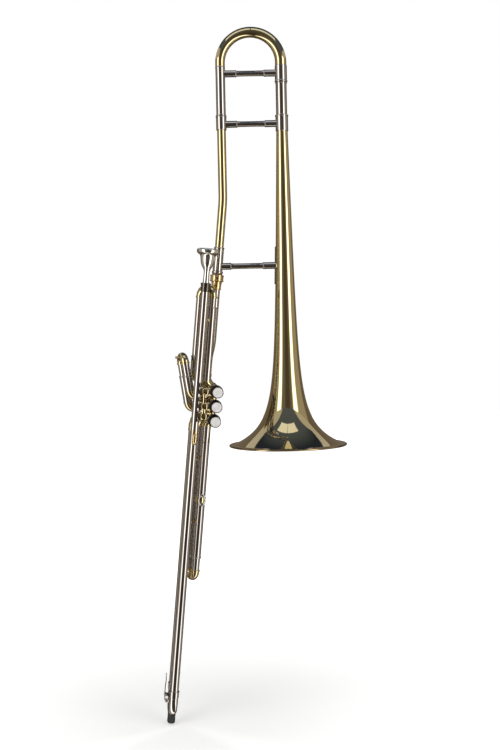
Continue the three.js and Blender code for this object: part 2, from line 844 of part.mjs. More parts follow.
function secondCrook() {
  const ends = [
    [secondDeepSide, secondValve.loopOut.level], [secondNearSide, secondValve.loopBack.level],
  ].map(([side, level]) => {
    const foot = vector(side, level, -valveDrops[1]);
    return foot.addScaledVector(secondHeading, secondEnd() - foot.dot(secondHeading));
  });
  const bottom = vector(secondNearSide, 0, -valveDrops[1]).dot(secondHeading);
  const top = bottom + secondReach + knuckleBend * 2;
  const crook = slideRoute(ends[0], ends[1], secondHeading, top, secondInsertion, secondInsertion).pipe();
  const middle = ends[0].clone().lerp(ends[1], 0.5);
  middle.addScaledVector(secondHeading, top - tubeRadius - secondEnd());
  const aside = vector(-Math.cos(secondLean), 0, -Math.sin(secondLean));
  const root = tubeRadius - bandProud;
  const outline = knobShares.map(([across, outward]) => [knobRadius * across, tubeRadius + knobReach * outward]);
  const knob = turned([[0, root], [outline[0][0], root], ...outline, [0, tubeRadius + knobReach]]);
  return joined(crook, placed(knob, middle, aside));
}

const thirdNear = vector(thirdNearSide, thirdValve.loopBack.level, -thirdEnd);
const thirdDeep = vector(thirdDeepSide, thirdValve.loopOut.level, -thirdEnd);
const thirdAcross = thirdNear.clone().sub(thirdDeep).normalize();
const thirdCrookLevel = -thirdCrookBottom + thirdNear.distanceTo(thirdDeep) / 2 + tubeRadius;

function thirdCrook() {
  const route = slideRoute(thirdDeep, thirdNear, down, thirdCrookBottom, thirdInsertion, thirdInsertion);
  return drained(route, thirdKeyFrame());
}

// Tubes between the legs, the valves and the bell

function outletTube() {
  const route = knuckleTo(0, firstValve.outlet, outletSide - outletShift, up, outletBend);
  const swing = Math.acos(1 - outletShift / (2 * outletShiftBend));
  const shiftLength = 2 * outletShiftBend * Math.sin(swing);
  const top = neckToReceiver + nutBase - tenonFerruleLength + neckpipeInsertion - seatGap;
  route.ahead(-outletShiftStart - shiftLength - route.at.z);
  route.bend(outletShiftBend, swing, right);
  route.bend(outletShiftBend, swing, up);
  return route.ahead(top - route.at.z).pipe().subtract(casingCut(0));
}

function returnElbow() {
  return knuckleTo(2, thirdValve.inlet, 0, down, returnBend)
    .size(leadRadiusBase + seatGap + ferruleWall, tubeBore)
    .ahead(bandHeight)
    .size(leadRadiusBase + seatGap + ferruleWall, leadRadiusBase + seatGap)
    .ahead(bowFerruleLength)
    .pipe()
    .subtract(casingCut(2));
}

function returnTube() {
  const top = -valveDrops[2] - returnBend - bandHeight - seatGap;
  return new Route(vector(0, legDepth, top), down, leadRadiusBase, legBore)
    .ahead(legLength + top)
    .pipe();
}

function crossover(upper, lower) {
  const from = -valveDrops[lower];
  const to = -valveDrops[upper];
  return placed(ringTube(tubeRadius, tubeBore, from, to), vector(valveSide, crossLevel, 0))
    .subtract(casingCut(upper))
    .subtract(casingCut(lower));
}

function bottomBow() {
  const socket = leadRadiusBase + seatGap;
  const ferruleTop = -legLength + bowFerruleLength;
  const route = new Route(vector(0, 0, ferruleTop), down, socket + ferruleWall + bandProud, socket)
    .ahead(bandHeight)
    .size(socket + ferruleWall, socket)
    .ahead(bowFerruleLength - bandHeight + seatGap)
    .size(socket + ferruleWall, legBore)
    .ahead(bandHeight)
    .size(bowRadius, legBore)
    .ahead(bowDrop - bandHeight - seatGap)
    .bend(legDepth / 2, Math.PI, back)
    .ahead(bowDrop - bandHeight - seatGap)
    .size(socket + ferruleWall, legBore)
    .ahead(bandHeight)
    .size(socket + ferruleWall, socket)
    .ahead(bowFerruleLength - bandHeight + seatGap)
    .size(socket + ferruleWall + bandProud, socket)
    .ahead(bandHeight);
  return drained(route, bowKeyFrame());
}

function bowBumper() {
  const bottom = -legLength - bowDrop - legDepth / 2 - bowRadius;
  const base = bottom - bumperDrop;
  const nose = bumperShares.map(([across, upward]) => [bumperRadius * across, base + bumperDrop * upward]);
  const cap = turned([
    [0, bottom + bumperWrap], [bumperRadius, bottom + bumperWrap], ...nose, [0, base]]);
  const bow = new Route(vector(0, 0, -legLength), down, bowRadius + seatGap, 0)
    .ahead(bowDrop)
    .bend(legDepth / 2, Math.PI, back)
    .ahead(bowDrop)
    .bar();
  return placed(cap, vector(0, legDepth / 2, 0)).subtract(bow);
}

// Valves

function valveCasing(valve) {
  let casing = placed(ringTube(casingRadius, casingBore, casingTop, casingBottom, turnedSides),
    vector(valveSide, 0, -valveDrops[valve]), back);
  for (const port of Object.values(valvePorts[valve])) {
    const { at, outward } = portPlace(valve, port, casingBore / 2);
    casing = casing.subtract(placed(rod(portRadius, 0, casingRadius, passageSides), at, outward));
  }
  return casing;
}

function topCap() {
  const outer = casingRadius + seatGap + capWall;
  const face = casingTop - topCapPlate;
  return turned([
    [casingRadius + seatGap, casingTop + capSkirt], [outer, casingTop + capSkirt], [outer, face + capWall],
    [outer - capWall, face], [stemRodRadius + seatGap, face],
    [stemRodRadius + seatGap, casingTop - seatGap], [casingRadius + seatGap, casingTop - seatGap]], turnedSides);
}

function bottomCap() {
  const outer = casingRadius + seatGap + capWall;
  const face = casingBottom + bottomCapPlate;
  return turned([
    [casingRadius + seatGap, casingBottom - capSkirt], [outer, casingBottom - capSkirt],
    [outer, face - capWall], [outer - capWall, face], [nippleBore, face],
    [nippleBore, casingBottom + seatGap], [casingRadius + seatGap, casingBottom + seatGap]], turnedSides);
}

// A passage through a piston, from one port to another, bulging past the axis on the far side.
function passage(from, to, shift) {
  const ends = [from, to].map(({ angle, level }) => ({
    outward: vector(Math.cos(angle), 0, Math.sin(angle)),
    level: level - shift,
  }));
  const reach = pistonRadius + overrun;
  const [start, end] = ends.map(({ outward, level }) => outward.clone().multiplyScalar(reach).setY(level));
  const spread = ends[0].outward.clone().add(ends[1].outward).multiplyScalar(-passageRadius * passageBulgeShare);
  const handles = ends.map(({ outward, level }) => outward.clone()
    .multiplyScalar(reach * passageLeadShare).add(spread).setY(level));
  const curve = new THREE.CubicBezierCurve3(start, ...handles, end);
  const route = new Route(start, ends[0].outward.clone().negate(), passageRadius, 0);
  for (let i = 1; i <= passageSteps; i += 1) {
    const share = i / passageSteps;
    route.at.copy(curve.getPoint(share));
    route.heading.copy(curve.getTangent(share));
    route.mark();
  }
  return route.bar(passageSides);
}

// The ported piston with its slotted spring barrel, made upright along +Y.
function piston(ports) {
  const bore = pistonRadius - barrelWall;
  let body = turned([
    [0, pistonBottom], [pistonRadius, pistonBottom], [pistonRadius, barrelTop],
    [bore, barrelTop], [bore, pistonTop], [0, pistonTop]], turnedSides).rotate([-90, 0, 0]);
  const slotFrom = pistonTop;
  const slotTo = barrelTop + slotMargin;
  body = body.subtract(box(pistonRadius * 2 + overrun, slotFrom - slotTo, slotWidth,
    vector(0, (slotFrom + slotTo) / 2, 0)));
  const passages = [
    passage(ports.inlet, ports.outlet, 0),
    passage(ports.inlet, ports.loopOut, stroke),
    passage(ports.loopBack, ports.outlet, stroke),
  ];
  return passages.reduce((sum, hole) => sum.subtract(hole), body);
}

const guideTop = pistonTop - seatGap - guideThickness;

function valveGuide() {
  const disc = ringTube(pistonRadius - barrelWall - seatGap, guideHole, guideTop, guideTop + guideThickness)
    .rotate([-90, 0, 0]);
  const ears = box((pistonRadius - seatGap) * 2, guideThickness, slotWidth - seatGap * 2,
    vector(0, guideTop + guideThickness / 2, 0));
  const hole = rod(guideHole, guideTop - overrun, guideTop + guideThickness + overrun, pinSides)
    .rotate([-90, 0, 0]);
  return joined(disc, ears).subtract(hole);
}

function valveStem() {
  const plug = pistonRadius - barrelWall - seatGap;
  const plugTop = barrelTop;
  const rodTop = casingTop - topCapPlate - feltHeight - stroke - seatGap;
  return turned([
    [0, plugTop + stemPlug], [plug, plugTop + stemPlug], [plug, plugTop],
    [stemRodRadius, plugTop], [stemRodRadius, rodTop], [0, rodTop]]);
}

function valveButton() {
  const base = casingTop - topCapPlate - feltHeight - stroke - seatGap * 2;
  const face = base - buttonHeight;
  return turned([
    [0, base], [buttonNeck, base], [buttonNeck, base - buttonHeight * buttonNeckShare],
    [buttonRadius - capWall, base - buttonHeight * buttonSlopeShare],
    [buttonRadius, base - buttonHeight * buttonEdgeShare],
    [buttonRadius, face + capWall], [buttonRadius - capWall, face], [0, face + capWall]], turnedSides);
}

function valveSpring() {
  const from = guideTop - seatGap - springWire;
  const to = barrelTop + stemPlug + seatGap + springWire;
  const steps = springTurns * springSteps;
  const place = (share) => {
    const angle = 2 * Math.PI * springTurns * share;
    return vector(springRadius * Math.cos(angle), THREE.MathUtils.lerp(from, to, share),
      springRadius * Math.sin(angle));
  };
  const heading = (share) => place(share + 0.5 / steps).sub(place(share - 0.5 / steps)).normalize();
  const route = new Route(place(0), heading(0), springWire, 0);
  for (let i = 1; i <= steps; i += 1) {
    route.at.copy(place(i / steps));
    route.heading.copy(heading(i / steps));
    route.mark();
  }
  return route.bar(springSides);
}

// Small parts of the valve section

function tubeCut(side, depth, radius, drop, height) {
  return placed(rod(clearOf(radius), -drop - height, height - drop, turnedSides), vector(side, depth, 0));
}

// A post between two upright tubes, with a disc foot on each.
function post(from, to, drop) {
  const start = vector(from.x, from.y, -drop);
  const across = vector(to.x - from.x, to.y - from.y, 0);
  const length = across.length();
  const footFrom = from.radius + postFootHeight;
  const footTo = length - to.radius - postFootHeight;
  const bar = turned([
    [0, 0], [postFoot, 0], [postFoot, footFrom], [postRadius, footFrom + postChamfer],
    [postRadius, footTo - postChamfer], [postFoot, footTo], [postFoot, length], [0, length]]);
  return placed(bar, start, across.normalize())
    .subtract(tubeCut(from.x, from.y, from.radius, drop, postFoot + overrun))
    .subtract(tubeCut(to.x, to.y, to.radius, drop, postFoot + overrun));
}

const leadPlace = { x: 0, y: 0, radius: leadRadiusTop };
const firstRightPlace = { x: firstRightSide, y: firstValve.loopOut.level, radius: sleeveRadius };
const outletPlace = { x: outletSide, y: legDepth, radius: tubeRadius };
const leadBasePlace = { x: 0, y: 0, radius: leadRadiusBase };
const thirdDeepPlace = {
  x: thirdDeepSide,
  y: thirdValve.loopOut.level,
  radius: sleeveRadius - sleeveWall / 2 - seatGap,
};

// The deep sleeve of the third slide, with the posts that stay it to the lead tube.
function stayedThirdSleeve() {
  const posts = thirdPostDrops.map((drop) => post(leadBasePlace, thirdDeepPlace, drop));
  return joined(thirdSleeve(thirdValve.loopOut, thirdDeepSide), ...posts);
}

function ringBand() {
  const inner = sleeveRadius + seatGap;
  const outer = inner + ringBandWall;
  const middle = -ringBandDrop;
  const cuff = ringTube(outer, inner, middle - ringBandHeight / 2, middle + ringBandHeight / 2, turnedSides);
  const loop = new THREE.TorusGeometry(ringRadius, ringWire, ringWireSides, turnedSides).rotateX(Math.PI / 2);
  const front = outer + ringWire * ringSinkShare;
  return joined(
    placed(cuff, vector(thirdNearSide, thirdValve.loopBack.level, 0)),
    placed(solidOf(loop), vector(thirdNearSide, thirdValve.loopBack.level - front, middle)),
  );
}

// A J outline in the plane of the lead tube, its curl open towards the mouthpiece.
function fingerHook() {
  const seat = leadRadiusTop;
  const base = -hookHeight / 2;
  const bend = hookReach / 2;
  const outline = new THREE.Shape();
  outline.moveTo(0, base);
  outline.lineTo(seat + hookReach - bend, base);
  outline.absarc(seat + hookReach - bend, base + bend, bend, -Math.PI / 2, 0, false);
  outline.lineTo(seat + hookReach, base + bend + hookLip);
  outline.lineTo(seat + hookReach - hookThickness, base + bend + hookLip);
  outline.absarc(seat + hookReach - bend, base + bend, bend - hookThickness, 0, -Math.PI / 2, true);
  outline.lineTo(seat + hookThickness, base + hookThickness);
  outline.lineTo(seat + hookThickness, -base);
  outline.lineTo(0, -base);
  const hook = new THREE.ExtrudeGeometry(outline, { depth: hookWidth, bevelEnabled: false, curveSegments: hookSteps });
  hook.translate(0, 0, -hookWidth / 2).rotateX(Math.PI / 2).rotateZ(-Math.PI / 2);
  return placed(solidOf(hook), vector(0, 0, -hookDrop))
    .subtract(tubeCut(0, 0, leadRadiusTop, hookDrop, hookHeight));
}

// Water keys: a frame holds the tube wall's point, the way out, the way along the lever
// and the axis of the pin.
function keyFrame(at, outward, along) {
  return { at, outward, along, pin: outward.clone().cross(along) };
}

function bowKeyFrame() {
  const wall = vector(-leadRadiusBase - seatGap - ferruleWall, 0, -keyPivotDrop);
  return keyFrame(wall, right.clone().negate(), up);
}

function thirdKeyFrame() {
  const outward = vector(-thirdAcross.y, thirdAcross.x, 0).normalize().negate();
  const middle = thirdDeep.clone().addScaledVector(outward, tubeRadius);
  return keyFrame(middle.setZ(thirdCrookLevel + keyArmLength), outward, up);
}

// Moves a solid made with +Z outward, +X along the lever and +Y along the pin.
function onKey(solid, { at, outward, along, pin }) {
  const matrix = new THREE.Matrix4().makeBasis(along, pin.clone().negate(), outward).setPosition(at);
  return solid.transform(matrix.elements);
}

function keySaddle(frame) {
  const height = keyPivotReach + keyPinRadius + keyThickness;
  const side = keyWidth / 2 + seatGap + keyPostWidth / 2;
  const posts = [-side, side].map((y) => box(keyPostLength, keyPostWidth, height, vector(0, y, height / 2)));
  const foot = box(keyFootLength, side * 2 + keyPostWidth, keyFootRise + keyFootDepth,
    vector(0, 0, (keyFootRise - keyFootDepth) / 2));
  const pin = rod(keyPinRadius, -side, side, pinSides).rotate([90, 0, 0])
    .translate([0, 0, keyPivotReach]);
  const nipple = rod(nippleRadius, -keyFootDepth, nippleReach, pinSides).translate([-keyArmLength, 0, 0]);
  return onKey(joined(...posts, foot, pin, nipple), frame);
}

// A tube with a water key's saddle and nipple on its wall and the drain hole through it.
function drained(route, frame) {
  const drain = rod(nippleBore, -keyFootDepth, nippleReach + overrun, pinSides)
    .translate([-keyArmLength, 0, 0]);
  return joined(route.bar(), keySaddle(frame)).subtract(route.core()).subtract(onKey(drain, frame));
}

function waterKey(frame) {
  const level = keyPivotReach;
  const leverTop = level + keyThickness * 1.5;
  const across = (solid) => solid.rotate([90, 0, 0]).translate([0, 0, level]);
  const hub = across(rod(keyPinRadius + seatGap + keyThickness, -keyWidth / 2, keyWidth / 2));
  const hole = across(rod(keyPinRadius + seatGap, -keyWidth, keyWidth, pinSides));
  const lever = box(keyLeverLength, keyWidth, keyThickness,
    vector(keyLeverLength / 2, 0, leverTop - keyThickness / 2));
  const arm = box(keyArmLength, keyWidth * keyArmShare, keyThickness, vector(-keyArmLength / 2, 0, level));
  const cup = rod(keyCupRadius, nippleReach + seatGap, level + keyThickness / 2)
    .translate([-keyArmLength, 0, 0]);
  const touch = rod(keyTouchRadius, leverTop - keyThickness, leverTop).translate([keyLeverLength, 0, 0]);
  return onKey(joined(hub, lever, arm, cup, touch).subtract(hole), frame);
}

// Assembly

const valveTrombone = new THREE.Group();
const neckGroup = new THREE.Group();
neckGroup.position.copy(neckPlace);
neckGroup.rotation.set(0, sectionTilt, sectionTwist);
const sectionGroup = new THREE.Group();
sectionGroup.position.set(-outletSide, -legDepth, -neckToReceiver);
neckGroup.add(sectionGroup);
valveTrombone.add(neckGroup);

valveTrombone.add(
  piece('bell', bell(), brass()),
  piece('tuning_receiver', tuningReceiver(), nickel()),
  piece('tuning_tenon', tuningTenon(), nickel()),
  piece('tuning_crook', tuningCrook(), brass()),
  piece('tuning_brace', upperBrace(), nickel()),
  piece('middle_brace', middleBrace(), nickel()),
  piece('lower_brace', lowerBrace(), nickel()),
  piece('neckpipe', neckpipe(), brass()),
);

neckGroup.add(
  piece('bell_socket', bellSocket(), nickel()),
  piece('neck_tenon', neckTenon(), goldBrass()),
  piece('lock_nut', lockNut(), goldBrass()),
);

sectionGroup.add(
  piece('mouthpiece', mouthpiece(), silver()),
  piece('mouthpiece_receiver', mouthpieceReceiver(), nickel()),
  piece('lead_tube', leadTube(), nickel()),
  piece('return_tube', returnTube(), nickel()),
  piece('return_elbow', returnElbow(), brass()),
  piece('bottom_bow', bottomBow(), nickel()),
  piece('bow_bumper', bowBumper(), rubber()),
  piece('outlet_tube', outletTube(), nickel()),
  piece('crossover_2_to_1', crossover(0, 1), brass()),
  piece('crossover_3_to_2', crossover(1, 2), brass()),
  piece('first_sleeve_left', firstSleeve(firstValve.loopBack, firstLeftSide, firstLeftEnd), nickel()),
  piece('first_sleeve_right', firstSleeve(firstValve.loopOut, firstRightSide, firstRightEnd), nickel()),
  piece('second_sleeve_deep', secondSleeve(secondValve.loopOut, secondDeepSide), brass()),
  piece('second_sleeve_near', secondSleeve(secondValve.loopBack, secondNearSide), brass()),
  piece('third_sleeve_deep', stayedThirdSleeve(), nickel()),
  piece('third_sleeve_near', thirdSleeve(thirdValve.loopBack, thirdNearSide), nickel()),
  piece('first_slide', firstCrook(), brass()),
  piece('second_slide', secondCrook(), brass()),
  piece('third_slide', thirdCrook(), brass()),
  piece('lead_post', post(leadPlace, firstRightPlace, leadPostDrop), brass()),
  piece('outlet_post', post(firstRightPlace, outletPlace, outletPostDrop), brass()),
  piece('ring_band', ringBand(), brass()),
  piece('finger_hook', fingerHook(), brass()),
  piece('bow_water_key', waterKey(bowKeyFrame()), nickel()),
  piece('third_water_key', waterKey(thirdKeyFrame()), nickel()),
);

valvePorts.forEach((ports, valve) => {
  const number = valve + 1;
  const valveGroup = new THREE.Group();
  valveGroup.position.set(valveSide, 0, -valveDrops[valve]);
  sectionGroup.add(piece(`valve_casing_${number}`, valveCasing(valve), nickel()), valveGroup);
  const alongDepth = (solid) => solid.rotate([-90, 0, 0]);
  valveGroup.add(
    piece(`top_cap_${number}`, alongDepth(topCap()), nickel()),
    piece(`bottom_cap_${number}`, alongDepth(bottomCap()), nickel()),
    piece(`piston_${number}`, piston(ports), nickel()),
    piece(`valve_guide_${number}`, valveGuide(), brass()),
    piece(`valve_spring_${number}`, valveSpring(), springSteel()),
    piece(`valve_stem_${number}`, alongDepth(valveStem()), nickel()),
    piece(`valve_button_${number}`, alongDepth(valveButton()), pearl()),
  );
});

export default valveTrombone;
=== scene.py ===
import json
import math

import bpy
from mathutils import Matrix, Vector

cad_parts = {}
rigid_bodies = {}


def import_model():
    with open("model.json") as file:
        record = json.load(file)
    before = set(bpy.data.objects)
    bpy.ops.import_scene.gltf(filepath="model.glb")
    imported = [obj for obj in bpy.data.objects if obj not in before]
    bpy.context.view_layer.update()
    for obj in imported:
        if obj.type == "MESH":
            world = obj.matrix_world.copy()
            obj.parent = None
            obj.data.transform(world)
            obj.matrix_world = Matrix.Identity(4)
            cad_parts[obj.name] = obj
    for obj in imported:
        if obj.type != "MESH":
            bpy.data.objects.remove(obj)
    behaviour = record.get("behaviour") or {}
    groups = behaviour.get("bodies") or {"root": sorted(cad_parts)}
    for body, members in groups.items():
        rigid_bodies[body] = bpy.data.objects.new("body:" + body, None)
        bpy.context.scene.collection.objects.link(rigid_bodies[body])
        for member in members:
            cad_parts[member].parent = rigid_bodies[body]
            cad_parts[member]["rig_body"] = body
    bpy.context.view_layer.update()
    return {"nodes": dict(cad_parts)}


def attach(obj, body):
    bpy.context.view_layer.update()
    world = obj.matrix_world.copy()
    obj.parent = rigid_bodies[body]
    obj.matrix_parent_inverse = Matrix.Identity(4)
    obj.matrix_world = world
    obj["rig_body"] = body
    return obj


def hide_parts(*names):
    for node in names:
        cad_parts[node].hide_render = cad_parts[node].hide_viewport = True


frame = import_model()
print("frame loaded:", len(frame["nodes"]), "solids")

mm = 0.001
up, down = Vector((0, 0, 1)), Vector((0, 0, -1))
right, back = Vector((1, 0, 0)), Vector((0, 1, 0))


# Selection, modes and modifiers, as one does by hand

def setMode(mode):
    bpy.ops.object.mode_set(mode=mode)


def pickNothing():
    if bpy.context.object and bpy.context.object.mode != "OBJECT":
        setMode("OBJECT")
    bpy.ops.object.select_all(action="DESELECT")


def pick(piece, *others):
    pickNothing()
    for other in (*others, piece):
        other.select_set(True)
    bpy.context.view_layer.objects.active = piece


def newPiece(name, add, **values):
    pickNothing()
    add(**values)
    piece = bpy.context.active_object
    piece.name = name
    return piece


def edit(piece, mode="VERT", action="SELECT"):
    pick(piece)
    setMode("EDIT")
    bpy.ops.mesh.select_mode(type=mode)
    bpy.ops.mesh.select_all(action=action)


def editFaces(piece, wanted):  # wanted tells for a face's centre and normal if it is picked
    edit(piece, "FACE", "DESELECT")
    setMode("OBJECT")
    for face in piece.data.polygons:
        face.select = wanted(face.center / mm, face.normal)
    setMode("EDIT")


def editVertices(piece, wanted):
    edit(piece, "VERT", "DESELECT")
    setMode("OBJECT")
    for vertex in piece.data.vertices:
        vertex.select = wanted(vertex.co / mm)
    setMode("EDIT")


def extrude(*move):
    bpy.ops.mesh.extrude_region_move(TRANSFORM_OT_translate={"value": Vector(move) * mm})


def resize(ratios, centre):
    bpy.ops.transform.resize(value=ratios, center_override=Vector(centre) * mm)


def closeUp(piece):  # doubles merged, then faces turned outwards
    bpy.ops.mesh.select_mode(type="VERT")
    bpy.ops.mesh.select_all(action="SELECT")
    bpy.ops.mesh.remove_doubles(threshold=0.0004 * mm)
    bpy.ops.mesh.normals_make_consistent(inside=False)
    setMode("OBJECT")
    return piece


def applyModifier(piece, kind, **values):
    modifier = piece.modifiers.new(kind.title(), kind)
    for key, value in values.items():
        setattr(modifier, key, value)
    pick(piece)
    bpy.ops.object.modifier_apply(modifier=modifier.name)
    return piece


def bevel(piece, width, angle=30):
    applyModifier(piece, "BEVEL", width=width * mm, segments=2, limit_method="ANGLE", angle_limit=math.radians(angle))


def applyPlace(piece, place=None):
    if place is not None:
        piece.matrix_world = place @ piece.matrix_world
    pick(piece)
    bpy.ops.object.transform_apply(location=True, rotation=True, scale=True)
    return piece


def cutAway(piece, *cutters):
    for cutter in cutters:
        applyModifier(piece, "BOOLEAN", operation="DIFFERENCE", solver="EXACT", object=cutter)
        bpy.data.objects.remove(cutter)
    return piece


def joinPieces(piece, *others):
    pick(piece, *others)
    bpy.ops.object.join()
    return piece


def copyOf(piece, name):
    other = piece.copy()
    other.data = piece.data.copy()
    other.name = name
    bpy.context.scene.collection.objects.link(other)
    return other


def moved(*at):
    return Matrix.Translation(Vector(at) * mm)


def aimed(at, axis):  # place of something modelled round +Z
    return moved(*at) @ Vector(axis).to_track_quat("Z", "Y").to_matrix().to_4x4()


quarterY = Matrix.Rotation(math.pi / 2, 4, "Y")
zToDepth = Matrix.Rotation(-math.pi / 2, 4, "X")


def roundCutter(radius, start, end):
    start, end = Vector(start), Vector(end)
    cutter = newPiece("cutter", bpy.ops.mesh.primitive_cylinder_add,
                      vertices=64, radius=radius * mm, depth=(end - start).length * mm)
    return applyPlace(cutter, aimed((start + end) / 2, end - start))


# Outlines, as lists of radius and height

def near(radius, height, *steps):  # points given by their distances from one corner
    return [(radius + outward, height + upward) for outward, upward in steps]


def smoothLine(points, count=5):  # a smooth line through the given points
    ends = [points[0]] + list(points) + [points[-1]]
    line = []
    for corners in zip(ends, ends[1:], ends[2:], ends[3:]):
        for t in (i / count for i in range(count)):
            line.append(tuple(
                0.5 * (2 * b + (c - a) * t + (2 * a - 5 * b + 4 * c - d) * t ** 2
                       + (3 * b - a - 3 * c + d) * t ** 3)
                for a, b, c, d in zip(*corners)))
    return line + [tuple(points[-1])]


def drawLine(name, points):  # a line drawn point by point, left in edit mode
    here = points[0]
    piece = newPiece(name, bpy.ops.mesh.primitive_plane_add, size=mm, location=(here[0] * mm, 0, here[1] * mm))
    edit(piece)
    bpy.ops.mesh.merge(type="CENTER")
    for point in points[1:]:
        move = ((point[0] - here[0]) * mm, 0, (point[1] - here[1]) * mm)
        bpy.ops.mesh.extrude_vertices_move(TRANSFORM_OT_translate={"value": move})
        here = point
    bpy.ops.mesh.select_all(action="SELECT")
    return piece


def turnedPiece(name, outline, steps=48):  # an outline spun round the axis
    meetsAxis = outline[0][0] == 0 and outline[-1][0] == 0
    piece = drawLine(name, outline if meetsAxis else outline + outline[:1])
    bpy.ops.mesh.spin(steps=steps, angle=math.tau, center=(0, 0, 0), axis=(0, 0, 1))
    return applyPlace(closeUp(piece))


# A tube: one ring of vertices is extruded ahead, resized for steps and tapers, and spun round bends

soft = 0.25  # length of the short cone that keeps a step's edge soft


def startTube(name, at, heading, radius, sides=32):
    heading = Vector(heading).normalized()
    piece = newPiece(
        name, bpy.ops.mesh.primitive_circle_add, vertices=sides, radius=radius * mm, location=Vector(at) * mm,
        rotation=heading.to_track_quat("Z", "Y").to_euler())
    edit(piece)
    return {"piece": piece, "at": Vector(at), "heading": heading, "radius": radius}


def sizeRing(tube, radius):
    ratio = radius / tube["radius"]
    if abs(ratio - 1) > 1e-6:
        resize((ratio, ratio, ratio), tube["at"])
    tube["radius"] = radius


def goAhead(tube, length, radius=None):
    move = tube["heading"] * length
    extrude(*move)
    tube["at"] = tube["at"] + move
    if radius is not None:
        sizeRing(tube, radius)


def goOn(tube, *runs):  # each run is a length and the radius that it ends with
    for length, radius in runs:
        goAhead(tube, length, radius)


def bendTube(tube, bendRadius, angle, towards, radius=None, stepAngle=7):
    start = tube["heading"].copy()
    side = (Vector(towards) - start * start.dot(Vector(towards))).normalized()
    centre = tube["at"] + side * bendRadius
    axis = start.cross(side)
    steps = max(3, math.ceil(math.degrees(angle) / stepAngle))
    first = tube["radius"]
    last = first if radius is None else radius
    parts = 1 if abs(last - first) < 1e-6 else steps
    for part in range(1, parts + 1):  # a taper is bent in small parts, each resized
        bpy.ops.mesh.spin(steps=steps // parts, angle=angle / parts, center=centre * mm, axis=-axis)
        turn = Matrix.Rotation(angle * part / parts, 3, axis)
        tube["at"] = centre - turn @ (side * bendRadius)
        sizeRing(tube, first + (last - first) * part / parts)
    tube["heading"] = (Matrix.Rotation(angle, 3, axis) @ start).normalized()


def endTube(tube, wall):
    piece = closeUp(tube["piece"])
    applyModifier(piece, "SOLIDIFY", thickness=wall * mm, offset=-1)
    return applyPlace(piece)


def endBar(tube):  # both ends filled, for a solid bar
    bpy.ops.mesh.edge_face_add()
    bpy.ops.mesh.select_all(action="DESELECT")
    bpy.ops.mesh.select_non_manifold()
    bpy.ops.mesh.edge_face_add()
    return applyPlace(closeUp(tube["piece"]))


# Node helpers

def newMaterial(name):
    material = bpy.data.materials.new(name)
    material.use_nodes = True
    return material, material.node_tree


def setInputs(tree, node, inputs):
    for key, value in inputs.items():
        if isinstance(value, bpy.types.NodeSocket):
            tree.links.new(value, node.inputs[key])
        elif value is not None:
            node.inputs[key].default_value = value


def addNode(tree, kind, inputs, output=0, **settings):
    node = tree.nodes.new("ShaderNode" + kind)
    for key, value in settings.items():
        setattr(node, key, value)
    setInputs(tree, node, inputs)
    return node.outputs[output]


def mathNode(tree, operation, *values):
    return addNode(tree, "Math", dict(enumerate(values)), operation=operation)


def objectPlace(tree):
    return addNode(tree, "TexCoord", {}, "Object")


def mixed(tree, share, first, second):
    return addNode(tree, "Mix", {0: share, 6: first, 7: second}, 2, data_type="RGBA")  # the colour sockets


def noise(tree, place, scale, detail):
    return addNode(tree, "TexNoise", {"Vector": place, "Scale": scale, "Detail": detail}, "Fac")


def ranged(tree, value, fromLow, fromHigh, toLow=0, toHigh=1):
    return addNode(tree, "MapRange", {
        "Value": value, "From Min": fromLow, "From Max": fromHigh, "To Min": toLow, "To Max": toHigh})


def bumped(tree, height, strength, distance, under=None):
    return addNode(tree, "Bump", {"Height": height, "Strength": strength, "Distance": distance, "Normal": under})


# Finishes

surface = {
    "clouds": 14, "specks": 420, "haze": 38, "waves": 55, "waveHeight": 0.0006, "lines": (900, 900, 40),
    "lineHeight": 0.00001, "grainHeight": 0.0001, "coatRoughness": 0.05, "coatIor": 3.0}


# Polished metal: cloudy tone, small dark specks, handling haze, fine drawn lines and a faint waviness
def metalFinish(name, tone, toneTwo, speckTone, specks, gloss, haze, waviness, lines, lacquer):
    material, tree = newMaterial(name)
    place, s = objectPlace(tree), surface
    cloud = ranged(tree, noise(tree, place, s["clouds"], 4), 0.35, 0.68)
    speck = ranged(tree, noise(tree, place, s["specks"], 2), 0.68, 0.78, 0, specks)
    waves = bumped(tree, noise(tree, place, s["waves"], 1), waviness, s["waveHeight"])
    drawn = noise(tree, addNode(tree, "Mapping", {"Vector": place, "Scale": s["lines"]}), 1, 2)
    setInputs(tree, tree.nodes["Principled BSDF"], {
        "Base Color": mixed(tree, speck, mixed(tree, cloud, tone, toneTwo), speckTone),
        "Roughness": ranged(tree, noise(tree, place, s["haze"], 5), 0.3, 0.75, gloss, haze),
        "Normal": bumped(tree, drawn, lines, s["lineHeight"], waves),
        "Metallic": 1.0, "Coat Weight": lacquer, "Coat Roughness": s["coatRoughness"], "Coat IOR": s["coatIor"]})
    return material


